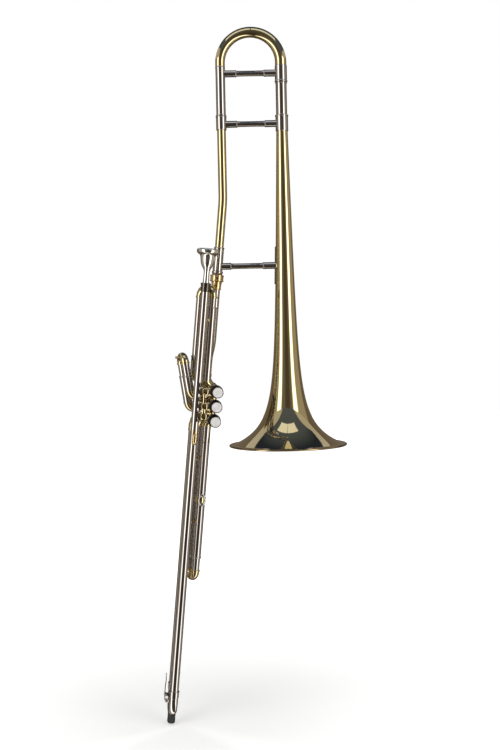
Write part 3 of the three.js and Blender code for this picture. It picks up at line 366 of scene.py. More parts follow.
metalLooks = {
    "lacquered_brass": {
        "tone": (0.57, 0.42, 0.085, 1), "toneTwo": (0.51, 0.36, 0.06, 1), "speckTone": (0.26, 0.17, 0.07, 1),
        "specks": 0.12, "gloss": 0.035, "haze": 0.085, "waviness": 0.10, "lines": 0.10, "lacquer": 1.0},
    # Brass darkened for the bell's rim bead: painted shade for the dark line that the bead shows in its reflections
    "rim_brass_painted_shade": {
        "tone": (0.36, 0.25, 0.11, 1), "toneTwo": (0.28, 0.19, 0.08, 1), "speckTone": (0.16, 0.10, 0.05, 1),
        "specks": 0.20, "gloss": 0.10, "haze": 0.20, "waviness": 0.05, "lines": 0.1, "lacquer": 0.2},
    "gold_brass": {
        "tone": (0.84, 0.64, 0.32, 1), "toneTwo": (0.74, 0.52, 0.22, 1), "speckTone": (0.34, 0.20, 0.07, 1),
        "specks": 0.14, "gloss": 0.08, "haze": 0.17, "waviness": 0.08, "lines": 0.12, "lacquer": 0.25},
    "nickel": {
        "tone": (0.53, 0.495, 0.465, 1), "toneTwo": (0.46, 0.42, 0.39, 1), "speckTone": (0.22, 0.19, 0.16, 1),
        "specks": 0.10, "gloss": 0.03, "haze": 0.075, "waviness": 0.07, "lines": 0.10, "lacquer": 0.0},
    # Nickel painted near black: painted shade and dark reflections for the top caps, button rims and mouthpiece
    # receiver
    "nickel_painted_shade": {
        "tone": (0.17, 0.145, 0.12, 1), "toneTwo": (0.11, 0.09, 0.075, 1), "speckTone": (0.05, 0.045, 0.04, 1),
        "specks": 0.30, "gloss": 0.10, "haze": 0.22, "waviness": 0.07, "lines": 0.2, "lacquer": 0.0},
    "silver": {
        "tone": (0.80, 0.78, 0.75, 1), "toneTwo": (0.71, 0.68, 0.64, 1), "speckTone": (0.42, 0.38, 0.32, 1),
        "specks": 0.12, "gloss": 0.06, "haze": 0.13, "waviness": 0.05, "lines": 0.12, "lacquer": 0.0},
    "spring_steel": {
        "tone": (0.48, 0.47, 0.45, 1), "toneTwo": (0.40, 0.39, 0.37, 1), "speckTone": (0.20, 0.19, 0.18, 1),
        "specks": 0.40, "gloss": 0.22, "haze": 0.36, "waviness": 0.05, "lines": 0.6, "lacquer": 0.0},
}
finishes = {name: metalFinish(name, **look) for name, look in metalLooks.items()}


# Soft or shell-like finishes: grain in tone, roughness and bump
def dullFinish(name, tone, toneTwo, cloudScale, grainScale, gloss, haze, grain, lacquer):
    material, tree = newMaterial(name)
    place = objectPlace(tree)
    cloud = ranged(tree, noise(tree, place, cloudScale, 3), 0.35, 0.65)
    grains = noise(tree, place, grainScale, 4)
    setInputs(tree, tree.nodes["Principled BSDF"], {
        "Base Color": mixed(tree, cloud, tone, toneTwo), "Roughness": ranged(tree, grains, 0.3, 0.7, gloss, haze),
        "Normal": bumped(tree, grains, grain, surface["grainHeight"]), "Coat Weight": lacquer})
    return material


dullLooks = {
    "rubber": {
        "tone": (0.012, 0.012, 0.012, 1), "toneTwo": (0.026, 0.025, 0.024, 1), "cloudScale": 90,
        "grainScale": 1800, "gloss": 0.45, "haze": 0.7, "grain": 0.5, "lacquer": 0.0},
    "button_pearl": {
        "tone": (0.80, 0.775, 0.75, 1), "toneTwo": (0.70, 0.685, 0.67, 1), "cloudScale": 260,
        "grainScale": 700, "gloss": 0.16, "haze": 0.3, "grain": 0.08, "lacquer": 0.5},
}
finishes.update({name: dullFinish(name, **look) for name, look in dullLooks.items()})
print("finishes made:", len(finishes))


# Gives a piece its place, edges, shading, finish and body
def settle(piece, finish, node=None, body=None, place=None, edge=0, smooth=42):
    if edge:
        bevel(piece, edge, 35)
    applyPlace(piece, place)
    bpy.ops.object.shade_smooth_by_angle(angle=math.radians(smooth))
    applyModifier(piece, "WEIGHTED_NORMAL", weight=75, keep_sharp=True)  # wide faces stay even beside narrow steps
    piece.data.name = piece.name
    piece.data.materials.clear()
    piece.data.materials.append(finishes[finish])
    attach(piece, body or frame["nodes"][node]["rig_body"])
    if node:
        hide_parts(node)


# Bell section

legs = {"spacing": 103.3, "bellTop": 540, "slideTop": 652.2, "ferruleTop": 565.6}
bell = {
    "mouth": 101.6, "length": 540, "stem": 9.5, "taper": 12, "flareDepth": 90, "exponent": 2.95,
    "wall": 0.7, "rim": 1.7, "clearance": 0.005, "rows": 90, "rowSpread": 1.9, "steps": 128}


def bellRadius(height):
    flare = bell["mouth"] - bell["stem"] - bell["taper"]
    spread = (bell["flareDepth"] / (height + bell["flareDepth"])) ** bell["exponent"]
    return bell["stem"] + bell["taper"] * (1 - height / bell["length"]) + flare * spread


def makeBell():
    b = bell
    low = b["rim"] * 2.2
    outside, inside = [], []
    for i in range(b["rows"] + 1):
        height = low + (b["length"] - low) * (i / b["rows"]) ** b["rowSpread"]
        radius = bellRadius(height)
        slope = bellRadius(height + 1) - radius
        lean = b["wall"] / math.hypot(1, slope)
        outside.append((radius, height))
        inside.append((radius - lean, min(height + lean * slope, b["length"])))
    bead = b["mouth"] - b["rim"] - b["clearance"]
    edge = [(bead - 1.0, b["rim"] * 1.2), (bead - 0.9, b["rim"] * 1.75)]
    shell = turnedPiece("bellShell", outside + inside[::-1] + edge, b["steps"])
    settle(shell, "lacquered_brass", "bell", smooth=50)
    turns = [math.radians(i * 20) for i in range(18)]
    rolled = [(bead + b["rim"] * math.cos(turn), b["rim"] * (1 + math.sin(turn))) for turn in turns]
    # the rim bead takes the brass with painted shade
    settle(turnedPiece("bellRim", rolled, b["steps"]), "rim_brass_painted_shade", body="bell_section", smooth=50)


receiver = {"ferrule": 10.8, "tube": 9.5, "wall": 0.5, "band": 2.0, "proud": 0.7, "top": 620.9}


def makeReceiver(ferrule, tube, wall, band, proud, top):
    low, stemTop, high = legs["bellTop"] - band, legs["bellTop"], legs["ferruleTop"]
    stem = bellRadius(low) + 0.05
    inner = tube - wall
    outline = [
        (stem, low), *near(ferrule, low, (-0.4, 0), (0, 0.5)),
        *near(ferrule, high, (0, -2.6), (0.5, -2.2), (proud, -1.4), (proud, -0.6), (0.3, 0)), (tube, high),
        *near(tube, top, (0, -2.2), (0.6, -1.9), (proud, -1), (0.5, -0.2), (0.1, 0)), (inner, top),
        *near(inner, stemTop, (0, 2), (-wall, 2), (-wall, 0.3)), (stem, stemTop + 0.3)]
    settle(turnedPiece("receiverLeg", outline), "nickel", "tuning_receiver", edge=0.12)


tenon = {
    "ferrule": 8.9, "proud": 0.7, "tube": 7.2, "wall": 0.5, "insertion": 62, "pipe": 7.4, "seat": 541.5,
    "pipeTop": 545.5}


def makeTenon(ferrule, proud, tube, wall, insertion, pipe, seat, pipeTop):
    high = legs["ferruleTop"]
    outline = [
        (pipe + 0.05, seat), *near(ferrule, seat, (-0.6, 0), (0, 0.8)),
        *near(ferrule, high, (0, -2.4), (0.5, -2), (proud, -1.2), (0.5, -0.3), (0, 0)), (tube, high),
        *near(tube, high + insertion, (0, 0), (-wall, 0)), (tube - wall, pipeTop + 0.3), (pipe + 0.05, pipeTop + 0.3)]
    settle(turnedPiece("tenonLeg", outline), "nickel", "tuning_tenon", place=moved(-legs["spacing"], 0, 0), edge=0.12)


crook = {
    "narrow": 8.2, "wide": 9.78, "wall": 0.6, "seat": 4, "sleeve": 8.1, "sleeveWall": 0.35, "sleeveDrop": 3.5,
    "rise": 2.55, "ferrule": 10.4, "ferruleDrop": 2.6, "ferruleLength": 28.4, "tube": 8.6, "tubeWall": 0.5,
    "insertion": 62, "proud": 0.7}


def makeCrook():
    c = crook
    side, sleeveTop = -legs["spacing"], legs["slideTop"] - c["sleeveDrop"]
    bow = startTube("crookBow", (side, 0, sleeveTop - c["seat"]), up, c["narrow"] - 0.45, 40)
    goOn(bow, (c["seat"], c["narrow"] - 0.45), (soft, c["narrow"]), (c["sleeveDrop"] + c["rise"] - soft, c["narrow"]))
    bendTube(bow, legs["spacing"] / 2, math.pi, right, c["wide"], 3.5)
    goOn(bow, (c["rise"] + c["ferruleDrop"], c["wide"]), (soft, c["wide"] - 0.5), (c["seat"], c["wide"] - 0.5))
    settle(endTube(bow, c["wall"]), "lacquered_brass", "tuning_crook", smooth=50)

    low, sleeve = legs["ferruleTop"] + 0.3, c["sleeve"]
    tube = startTube("crookSleeve", (side, 0, low), up, sleeve + 0.3)
    goOn(tube, (0.5, sleeve + c["proud"]), (1, sleeve + c["proud"]), (0.6, sleeve), (sleeveTop - low - 4.6, sleeve),
         (0.5, sleeve + 0.35), (1.3, sleeve + 0.35), (0.7, c["narrow"] - 0.05))
    settle(endTube(tube, c["sleeveWall"]), "nickel", body="tuning_slide")

    ferrule, top = c["ferrule"], legs["slideTop"] - c["ferruleDrop"]
    low = top - c["ferruleLength"]
    outline = [
        (c["wide"] - 0.5, top), *near(ferrule, top, (-0.5, 0), (0, -0.7)),
        *near(ferrule, low, (0, 3), (0.5, 2.5), (c["proud"], 1.5), (0.4, 0.2)), (c["tube"], low),
        *near(c["tube"], low - c["insertion"], (0, 0), (-c["tubeWall"], 0)),
        (c["tube"] - c["tubeWall"], top - 6), (c["wide"] - 0.5, top - 6)]
    settle(turnedPiece("crookFerrule", outline), "nickel", body="tuning_slide", edge=0.12)


brace = {
    "radius": 5.0, "sleeve": 5.85, "sleeves": (27, 29), "lowerSleeves": (23, 37), "waist": 4.7,
    "upper": 636.8, "middle": 551.4, "lower": 310.0,
    "footHeight": 64, "footWidth": 9, "footThickness": 1.44, "footRows": 12}


# A cross bar from a tube on the left to the bell's axis, with a long sleeve at each end
def crossBar(name, start, height, sleeves):
    radius, sleeve = brace["radius"], brace["sleeve"]
    first, second = (
        [(0, 0), (sleeve, 0), *near(sleeve, length, (0, -1.8), (0.25, -1.3), (0.25, -0.5), (-0.1, 0)),
         *near(radius, length, (0, 0.1), (-0.2, 6))] for length in sleeves)
    middle = [(brace["waist"], (sleeves[0] - start - sleeves[1]) / 2)]
    piece = turnedPiece(name, first + middle + [(size, -start - along) for size, along in reversed(second)])
    return applyPlace(piece, moved(start, 0, height) @ quarterY)


def uprightCutter(radius, side, height):
    return roundCutter(radius, (side, 0, height - 12), (side, 0, height + 12))


def makeBraces():
    side = -legs["spacing"]
    for name, height, leftTube, rightTube, node in (
            ("upperBrace", brace["upper"], crook["sleeve"], crook["ferrule"], "tuning_brace"),
            ("middleBrace", brace["middle"], tenon["ferrule"], receiver["ferrule"], "middle_brace")):
        piece = crossBar(name, side, height, brace["sleeves"])
        cutAway(piece, uprightCutter(leftTube - 0.15, side, height), uprightCutter(rightTube - 0.15, 0, height))
        settle(piece, "nickel", node, edge=0.1)


neck = {
    "height": 342.6, "tilt": math.radians(5.7), "twist": math.radians(6), "straight": 70.6, "bend": 200,
    "pipe": 7.4, "wall": 0.7, "insertion": 8}
neckShift = neck["straight"] * math.sin(neck["tilt"]) + neck["bend"] * (1 - math.cos(neck["tilt"]))
neckAt = Vector((-legs["spacing"] - neckShift, 0, neck["height"]))
neckAxis = Vector((math.sin(neck["tilt"]), 0, math.cos(neck["tilt"])))
neckPlace = moved(*neckAt) @ Matrix.Rotation(neck["tilt"], 4, "Y") @ Matrix.Rotation(neck["twist"], 4, "Z")
neckInSection = (21.4, 46, 76.6)
sectionPlace = neckPlace @ moved(*(-part for part in neckInSection))


# The lower brace stands on a long thin foot soldered along the bell
def makeLowerBrace():
    b = brace
    height = b["lower"]
    drop = (neck["height"] - height) / math.cos(neck["tilt"])
    middle, reach = neckAt - neckAxis * drop, neckAxis * 14
    bar = crossBar("lowerBrace", neckAt.x - drop * math.sin(neck["tilt"]), height, b["lowerSleeves"])
    cutAway(bar, roundCutter(socket["radius"] - 0.15, middle - reach, middle + reach),
            uprightCutter(bellRadius(height) - 0.1, 0, height))
    heights = [height - b["footHeight"] / 2 + b["footHeight"] * i / b["footRows"] for i in range(b["footRows"] + 1)]
    foot = drawLine("lowerFoot", [(-bellRadius(level) - 0.1, level) for level in heights])
    half = math.asin(b["footWidth"] / 2 / bellRadius(height))
    bpy.ops.transform.rotate(value=-half, orient_axis="Z", center_override=(0, 0, 0))
    bpy.ops.mesh.spin(steps=8, angle=half * 2, center=(0, 0, 0), axis=(0, 0, 1))
    applyPlace(closeUp(foot))
    applyModifier(foot, "SOLIDIFY", thickness=b["footThickness"] * mm, offset=1)
    settle(foot, "nickel", body="bell_section", edge=0.35)
    settle(bar, "nickel", "lower_brace", edge=0.1)


def makeNeckpipe():
    pipe = startTube("neckPipe", neckAt - neckAxis * neck["insertion"], neckAxis, neck["pipe"])
    goAhead(pipe, neck["insertion"] + neck["straight"])
    bendTube(pipe, neck["bend"], neck["tilt"], -right, stepAngle=1)
    goAhead(pipe, tenon["pipeTop"] - pipe["at"].z)
    settle(endTube(pipe, neck["wall"]), "lacquered_brass", "neckpipe")


socket = {
    "radius": 8.4, "proud": 0.7, "length": 41.5, "collar": 9.7, "collarHeight": 2.4, "thread": 9.0,
    "threadLength": 8.0, "turns": 5, "seat": -8.3, "coneTop": -10.3}
joint = {
    "tip": 6.4, "tipTop": -10.6, "base": 7.0, "flange": 8.9, "flangeTop": -52.2, "flangeBase": -54.0, "wall": 0.7,
    "nutTop": -47.1, "nutBase": -58.7, "nutRadius": 11.8, "bore": 8.0, "threadBore": 9.3, "flutes": 8,
    "fluteDepth": 0.35, "ferruleLength": 13.8}


def tenonRadius(height):
    low = socket["length"] + socket["collarHeight"] + socket["threadLength"]
    return joint["base"] + (joint["tip"] - joint["base"]) * (height + low) / (low - 10)


def makeSocket(radius, proud, length, collar, collarHeight, thread, threadLength, turns, seat, coneTop):
    pipe, inner = neck["pipe"] + 0.05, neck["pipe"] - 0.7
    top = -length - collarHeight
    bottom = top - threadLength
    outline = [
        (pipe, 0), *near(radius, 0, (0.3, 0), (proud, -0.6), (proud, -1.4), (0, -2)), (radius, -length + 1.2),
        *near(collar, -length, (-0.4, 0.4), (0, 0)), *near(collar, top, (0, 0.3), (-0.4, 0))]
    for i in range(turns):  # the thread's ridges
        outline += near(thread, top - threadLength * i / turns, (-0.5, -0.1), (0, -threadLength / turns / 2))
    outline += [
        (thread - 0.5, bottom), (tenonRadius(bottom) + 0.3, bottom), (tenonRadius(seat) + 0.3, coneTop),
        (inner, coneTop), (inner, seat), (pipe, seat)]
    settle(turnedPiece("bellSocket", outline), "nickel", "bell_socket", place=neckPlace, edge=0.1)


def makeJoint():
    j = joint
    base, low = j["base"] + j["wall"], j["nutBase"]
    outline = [
        (j["tip"], j["tipTop"]), (j["base"], j["flangeTop"]), (j["flange"], j["flangeTop"]),
        (j["flange"], j["flangeBase"]), (base, j["flangeBase"]),
        *near(0, low, (base, -0.3), (8.6, -0.4), (9.2, -0.9), (9.2, -1.7), (8.8, -2.2), (8.25, -7)),
        *near(0, low - j["ferruleLength"], (8.0, 2.6), (8.5, 2.1), (8.6, 1.2), (8.3, 0.3), (8.0, 0), (7.05, 0),
              (7.05, 8), (5.7, 8)), (5.7, j["tipTop"])]
    settle(turnedPiece("neckTenon", outline), "gold_brass", "neck_tenon", place=neckPlace, edge=0.08)

    radius, seat = j["nutRadius"], j["flangeBase"] - 0.3
    nut = turnedPiece("lockNut", [
        (j["threadBore"], j["nutTop"]), *near(radius, j["nutTop"], (-1.0, 0), (0, -0.9), (0, -2.2), (-0.6, -2.8)),
        *near(radius, low, (-0.6, 2.8), (0, 2.2), (0, 0.9), (-1.0, 0)), (j["bore"], low), (j["bore"], seat),
        (j["threadBore"], seat)], 80)
    pitch = 360 / j["flutes"]
    for spread, share in ((5, 0.55), (1, 0.45)):  # a wide shallow press, then a narrow deep one
        def inFlute(place):
            angle = math.degrees(math.atan2(place.y, place.x)) % pitch
            return math.hypot(place.x, place.y) > radius - 1.05 and min(angle, pitch - angle) < spread
        editVertices(nut, inFlute)
        ratio = 1 - j["fluteDepth"] * share / radius
        resize((ratio, ratio, 1), (0, 0, 0))
        setMode("OBJECT")
    settle(nut, "gold_brass", "lock_nut", place=neckPlace, edge=0.15, smooth=32)


makeBell()
makeReceiver(**receiver)
makeTenon(**tenon)
makeCrook()
makeBraces()
makeLowerBrace()
makeNeckpipe()
makeSocket(**socket)
makeJoint()
print("bell section made")


# Valve section, modelled upright in its own place: +X to the side, +Y deeper, +Z to the mouthpiece

def fit(piece, finish, node=None, body=None, **more):
    if not node and not body:
        body = "valve_section"
    settle(piece, finish, node, body, sectionPlace, **more)


mouth = {
    "shankEnd": 5.2, "shankStep": 5.8, "end": -10, "bore": 4.5, "throat": 3.0, "cup": 12.8, "rim": 19.2,
    "rimTop": 69, "receiver": 8.1, "receiverTop": 12, "receiverBase": -3, "land": 8}


def makeMouthpiece():
    m = mouth
    top = m["receiverTop"]
    outer = smoothLine([
        (5.3, top + 2.2), (5.0, 24), (5.1, 31.5), (6.6, 35.8), (9.1, 40), (11.0, 45), (12.1, 51.2), (13.0, 56.2),
        (14.4, 58.8), (16.6, 60.1)])
    rim = smoothLine([
        (18.3, 61.6), (19.05, 63.2), (m["rim"], 65.2), (18.9, 67.0), (18.0, 68.3), (16.6, m["rimTop"]),
        (15.0, 68.8), (13.7, 67.8)])
    inner = smoothLine([
        (m["cup"], 66.2), (12.3, 63.4), (11.5, 59.6), (9.9, 54.9), (7.3, 51.0), (4.7, 48.2), (3.3, 46.4)])
    shank = [(m["shankEnd"], m["end"]), *near(m["shankStep"], top, (-0.03, -0.2), (-0.1, 1.2))]
    outline = shank + outer + rim + inner + [(m["throat"], 44.5), (m["bore"], m["end"])]
    fit(turnedPiece("mouthpieceCup", outline, 64), "silver", "mouthpiece", smooth=40)

    radius, base, land = m["receiver"], m["receiverBase"], top - m["land"] + 0.3
    outline = [
        (6.0, top), *near(radius, top, (-0.3, 0), (0.5, -0.6), (0.7, -1.6), (0.5, -2.8), (0, -3.6)),
        *near(radius, base, (0, 2.4), (-0.1, 1.6), (-0.45, 0.5), (-0.7, 0)), (7.0, base), (7.0, land), (5.75, land)]
    # the receiver takes the nickel with painted shade
    fit(turnedPiece("mouthReceiver", outline), "nickel_painted_shade", "mouthpiece_receiver", edge=0.1)


leg = {
    "depth": 46, "top": 6.9, "base": 7.3, "wall": 0.7, "leadTop": 4, "widens": 271, "taper": 1.5,
    "returnTop": 229.3, "length": 688}
bow = {
    "radius": 7.5, "wall": 0.45, "drop": 9, "ferrule": 8.1, "ferruleLength": 9, "bead": 0.7, "bumper": 6.8,
    "bumperDrop": 14.6, "cutterDrop": 5}


def makeLegs():
    g = leg
    lead = startTube("leadTube", (0, 0, g["leadTop"]), down, g["top"])
    goOn(lead, (g["widens"] + g["leadTop"], g["top"]), (g["taper"], g["base"]),
         (g["length"] - g["widens"] - g["taper"], g["base"]))
    fit(endTube(lead, g["wall"]), "nickel", "lead_tube")
    other = startTube("returnTube", (0, g["depth"], -g["returnTop"]), down, g["base"])
    goAhead(other, g["length"] - g["returnTop"])
    fit(endTube(other, g["wall"]), "nickel", "return_tube")


def endFerrule(tube, radius, bead, length):  # a sleeve with its bead at the end
    goOn(tube, (soft, radius), (length - 2 - soft, radius), (0.5, radius + bead), (1.0, radius + bead),
         (0.5, radius + bead * 0.6))


def makeBow():
    b = bow
    ferrule, length = b["ferrule"], b["ferruleLength"] + 2
    tube = startTube("bottomBow", (0, 0, b["ferruleLength"] - leg["length"]), down, ferrule + b["bead"] * 0.6)
    goOn(tube, (0.5, ferrule + b["bead"]), (1.0, ferrule + b["bead"]), (0.5, ferrule), (length - 2, ferrule),
         (soft, b["radius"]), (b["drop"] - 2 - soft, b["radius"]))
    bendTube(tube, leg["depth"] / 2, math.pi, back, stepAngle=6)
    goAhead(tube, b["drop"] - 2)
    endFerrule(tube, ferrule, b["bead"], length)
    fit(endTube(tube, b["wall"]), "nickel", "bottom_bow", edge=0.08)

    radius = b["bumper"]
    bottom = -leg["length"] - b["drop"] - leg["depth"] / 2 - b["radius"]
    base = bottom - b["bumperDrop"]
    nose = smoothLine(near(0, base, (radius, 4.2), (6.55, 2.2), (5.7, 0.9), (4.2, 0.25), (2.6, 0)), 4)
    piece = turnedPiece("bowBumper", [
        (0, bottom + 4), *near(radius, bottom, (-0.7, 4), (0, 3.2), (0, -3.4), (-0.5, -3.9), (-0.5, -4.6), (0, -5.1)),
        *nose, (0, base)])
    applyPlace(piece, moved(0, leg["depth"] / 2, 0))
    cutter = startTube("bowCutter", (0, 0, -leg["length"] - b["cutterDrop"]), down, b["radius"] - 0.1)
    goAhead(cutter, b["drop"] - b["cutterDrop"])
    bendTube(cutter, leg["depth"] / 2, math.pi, back, stepAngle=6)
    goAhead(cutter, b["drop"] - b["cutterDrop"])
    fit(cutAway(piece, endBar(cutter)), "rubber", "bow_bumper")


valve = {
    "side": 28.5, "drops": (166, 190, 214), "casing": 9.7, "bore": 8.6, "top": -42, "bottom": 70,
    "knuckle": 7.0, "knuckleWall": 0.8, "knuckleEnd": 4, "sleeve": 7.5, "sleeveWall": 0.5, "bend": 10,
    "crossover": 28}  # depth of the tubes between the casings
ports = (  # angle round the valve, seen from the button, and depth along it
    {"outlet": (125, 46), "loopOut": (145, 12), "loopBack": (150, 31)},
    {"loopOut": (200, 36), "loopBack": (160, 16)},
    {"inlet": (180, 46), "loopOut": (215, 29), "loopBack": (235, 11)})
second = {"lean": math.radians(14), "near": -7, "sleeve": 46, "slide": 40}
headings = {"first": up, "second": Vector((-math.sin(second["lean"]), 0, math.cos(second["lean"]))), "third": down}
secondEnd = Vector((second["near"], 0, -valve["drops"][1])).dot(headings["second"]) + second["sleeve"]
sleeves = {  # valve, port, side that the sleeve stands at, and its end along the heading
    ("first", "left"): (0, "loopBack", -5.4, -111), ("first", "right"): (0, "loopOut", 14.4, -27),
    ("second", "deep"): (1, "loopOut", -12.5, secondEnd),
    ("second", "near"): (1, "loopBack", second["near"], secondEnd),
    ("third", "deep"): (2, "loopOut", 11.6, 453), ("third", "near"): (2, "loopBack", 20.5, 453)}


def sleeveEnd(slide, where):
    number, port, side, end = sleeves[slide, where]
    foot = Vector((side, ports[number][port][1], -valve["drops"][number]))
    return foot + headings[slide] * (end - foot.dot(headings[slide]))


# Leads a knuckle from its port to the line of the tube that stands at a given side
def knuckleTo(name, number, port, side, heading, bendRadius):
    degrees, depth = ports[number][port]
    outward = Vector((math.cos(math.radians(degrees)), 0, math.sin(math.radians(degrees))))
    drop = -valve["drops"][number]
    at = Vector((valve["side"], depth, drop)) + outward * valve["casing"] * 0.7
    tube = startTube(name, at, outward, valve["knuckle"])
    angle = tube["heading"].angle(heading)
    across = (tube["heading"] - heading * tube["heading"].dot(heading)).normalized()
    offset = (Vector((side, depth, drop)) - tube["at"]).dot(across)
    goAhead(tube, (offset - bendRadius * (1 - math.cos(angle))) / math.sin(angle))
    bendTube(tube, bendRadius, angle, heading)
    return tube


def casingCutter(number):
    side, drop = valve["side"], -valve["drops"][number]
    return roundCutter(valve["casing"] - 0.3, (side, valve["top"], drop), (side, valve["bottom"], drop))


# Ends a knuckle a little past the given tube, inside the next one's collar
def endKnuckle(tube, number):
    goAhead(tube, valve["knuckleEnd"])
    fit(cutAway(endTube(tube, valve["knuckleWall"]), casingCutter(number)), "lacquered_brass")


def makeSleeves():
    outer = valve["sleeve"]
    for (slide, where), (number, port, side, end) in sleeves.items():
        name, heading = slide + where.title(), headings[slide]
        knuckle = knuckleTo(name + "Knuckle", number, port, side, heading, valve["bend"])
        at = knuckle["at"].copy()
        endKnuckle(knuckle, number)
        sleeve = startTube(name + "Sleeve", at, knuckle["heading"], outer - 0.25)
        goOn(sleeve, (0.3, outer + 0.35), (2.2, outer + 0.35), (0.5, outer), (end - at.dot(heading) - 5.4, outer),
             (0.4, outer + 0.5), (0.6, outer + 0.7), (0.8, outer + 0.7), (0.6, outer + 0.25))
        fit(endTube(sleeve, valve["sleeveWall"]), "nickel", f"{slide}_sleeve_{where}", edge=0.06)


slides = {
    "inner": 6.6, "innerWall": 0.5, "tube": 7.0, "bead": 0.7, "collar": 3.0, "wall": 0.8,
    "reach": {  # top of the crook along the heading, and each inner tube's insertion
        "first": (11.6, 25, 90), "second": (secondEnd + second["slide"], 22, 22), "third": (493, 150, 150)}}


# Two inner tubes and the crook that joins them
def makeSlide(slide):
    s, heading = slides, headings[slide]
    top, *insertions = s["reach"][slide]
    start, end = (sleeveEnd(*key) for key in sleeves if key[0] == slide)
    across = end - start
    across = across - heading * across.dot(heading)
    radius = across.length / 2
    turnAt = top - radius - s["tube"]
    for side, foot, insertion in zip(("Out", "Back"), (start, end), insertions):
        low = foot - heading * insertion
        inner = startTube(f"{slide}SlideInner{side}", low, heading, s["inner"] - 0.15)
        goOn(inner, (0.3, s["inner"]), (turnAt - 1.3 - low.dot(heading), s["inner"]))
        fit(endTube(inner, s["innerWall"]), "nickel", body=slide + "_slide")
    wide, collar = s["tube"] + s["bead"], s["collar"]
    crookAt = start + heading * (turnAt - collar - start.dot(heading))
    tube = startTube(slide + "SlideCrook", crookAt, heading, s["inner"] + 0.35)
    goOn(tube, (0.4, wide), (collar - 1.0, wide), (0.6, s["tube"]))
    bendTube(tube, radius, math.pi, across)
    goOn(tube, (0.6, wide), (collar - 1.0, wide), (0.4, s["inner"] + 0.35))
    fit(endTube(tube, s["wall"]), "lacquered_brass", slide + "_slide")


def makeSecondKnob():
    knob = turnedPiece("secondKnob", [
        (0, 6.4), (1.4, 6.4), (1.15, 7.6), (1.1, 8.6), (1.9, 9.4), (2.35, 10.3), (2.3, 11.2), (1.7, 11.8),
        (0, 12)], 24)
    middle = (sleeveEnd("second", "deep") + sleeveEnd("second", "near")) / 2
    at = middle + headings["second"] * (second["slide"] - slides["tube"])
    applyPlace(knob, aimed(at, (-math.cos(second["lean"]), 0, -math.sin(second["lean"]))))
    fit(knob, "lacquered_brass", body="second_slide")


elbow = {"bend": 13, "length": 10, "wall": 0.5, "bead": 0.6, "beadLength": 2.9}
outlet = {"side": 17.6, "bend": 14, "top": 11.8, "swing": 3.8, "swingRadius": 130, "swingTop": -78}


def makeConnections():
    v, o = valve, outlet
    radius = bow["ferrule"] - 0.2
    tube = knuckleTo("returnElbow", 2, "inlet", 0, down, elbow["bend"])
    goOn(tube, (soft, radius), (elbow["length"], radius))
    endFerrule(tube, radius, elbow["bead"], elbow["beadLength"])
    fit(cutAway(endTube(tube, elbow["wall"]), casingCutter(2)), "lacquered_brass", "return_elbow")

    knuckle = knuckleTo("outletKnuckle", 0, "outlet", o["side"], up, o["bend"])
    at = knuckle["at"].copy()
    endKnuckle(knuckle, 0)
    tube = startTube("outletTube", at, up, v["knuckle"] + 0.1)
    goOn(tube, (0.4, v["knuckle"] + 0.7), (5, v["knuckle"] + 0.7), (0.6, v["knuckle"]))
    swing = math.acos(1 - o["swing"] / 2 / o["swingRadius"])
    goAhead(tube, o["swingTop"] - 2 * o["swingRadius"] * math.sin(swing) - tube["at"].z)
    for towards in (right, up):
        bendTube(tube, o["swingRadius"], swing, towards, stepAngle=1.5)
    goAhead(tube, o["top"] - tube["at"].z)
    fit(endTube(tube, v["knuckleWall"]), "nickel", "outlet_tube")

    for name, upper, node in (("crossoverUpper", 0, "crossover_2_to_1"), ("crossoverLower", 1, "crossover_3_to_2")):
        low = v["drops"][upper + 1]
        half = (low - v["drops"][upper]) / 2
        tube = startTube(name, (v["side"], v["crossover"], -low), up, v["knuckle"])
        goOn(tube, (half, None), (half, None))
        piece = cutAway(endTube(tube, v["knuckleWall"]), casingCutter(upper), casingCutter(upper + 1))
        fit(piece, "lacquered_brass", node)


makeMouthpiece()
makeLegs()
makeBow()
makeSleeves()
for slide in slides["reach"]:
    makeSlide(slide)
    if slide == "second":
        makeSecondKnob()
makeConnections()
print("tubes of the valve section made")


# The three valves: casings, caps, stems and buttons

cap = {
    "outer": 10.8, "inner": 9.85, "skirt": 8, "knurls": 60, "knurlRows": 6, "knurlPitch": 1.25, "knurlInset": 0.18,
    "knurlDepth": 0.22, "topPlate": 2.4, "bottomPlate": 3.2,  # crowns: distance from the rim, depth below the face
    "topCrown": ((-0.5, 2.2), (-0.5, 1.4), (-0.9, 0.5), (-2.2, 0), (-3.4, 0), (-4.0, 0.4)),
    "topMiddle": ((3.6, 0.4), (3.2, 0), (2.7, 0)),
    "bottomCrown": ((-0.4, 2.8), (-0.5, 1.6), (-1.6, 0.5), (-3.4, 0.1)),
    "bottomMiddle": ((4.6, 0.5), (3.4, 0), (1.6, 0), (1.0, 0.4))}
button = {"radius": 9.25, "neck": 4.0, "base": -63.0, "height": 5.0, "pearl": 8.2, "washer": 2.0}


# A cap on one end of the casing, with a band of small pressed facets round its skirt; outward is 1 or -1
def capPiece(name, end, outward):
    c = cap
    outer, low, face = c["outer"], end - outward * c["skirt"], end + outward * c[name + "Plate"]
    rows = [low + outward * (2.0 + i * c["knurlPitch"]) for i in range(c["knurlRows"])]
    crown = [(outer + inward, face - outward * deep) for inward, deep in c[name + "Crown"]]
    middle = [(radius, face - outward * deep) for radius, deep in c[name + "Middle"]]
    inside = end + outward * 0.3
    piece = turnedPiece(name + "Cap", [
        (c["inner"], low), (outer - 0.3, low), (outer, low + outward * 0.4), *((outer, row) for row in rows),
        *crown, *middle, (middle[-1][0], inside), (c["inner"], inside)], c["knurls"])

    def onBand(place, normal):
        return (min(rows) < place.z < max(rows) and abs(normal.z) < 0.2
                and math.hypot(place.x, place.y) > outer - 0.4)
    editFaces(piece, onBand)
    bpy.ops.mesh.inset(thickness=c["knurlInset"] * mm, depth=-c["knurlDepth"] * mm, use_individual=True)
    setMode("OBJECT")
    return piece


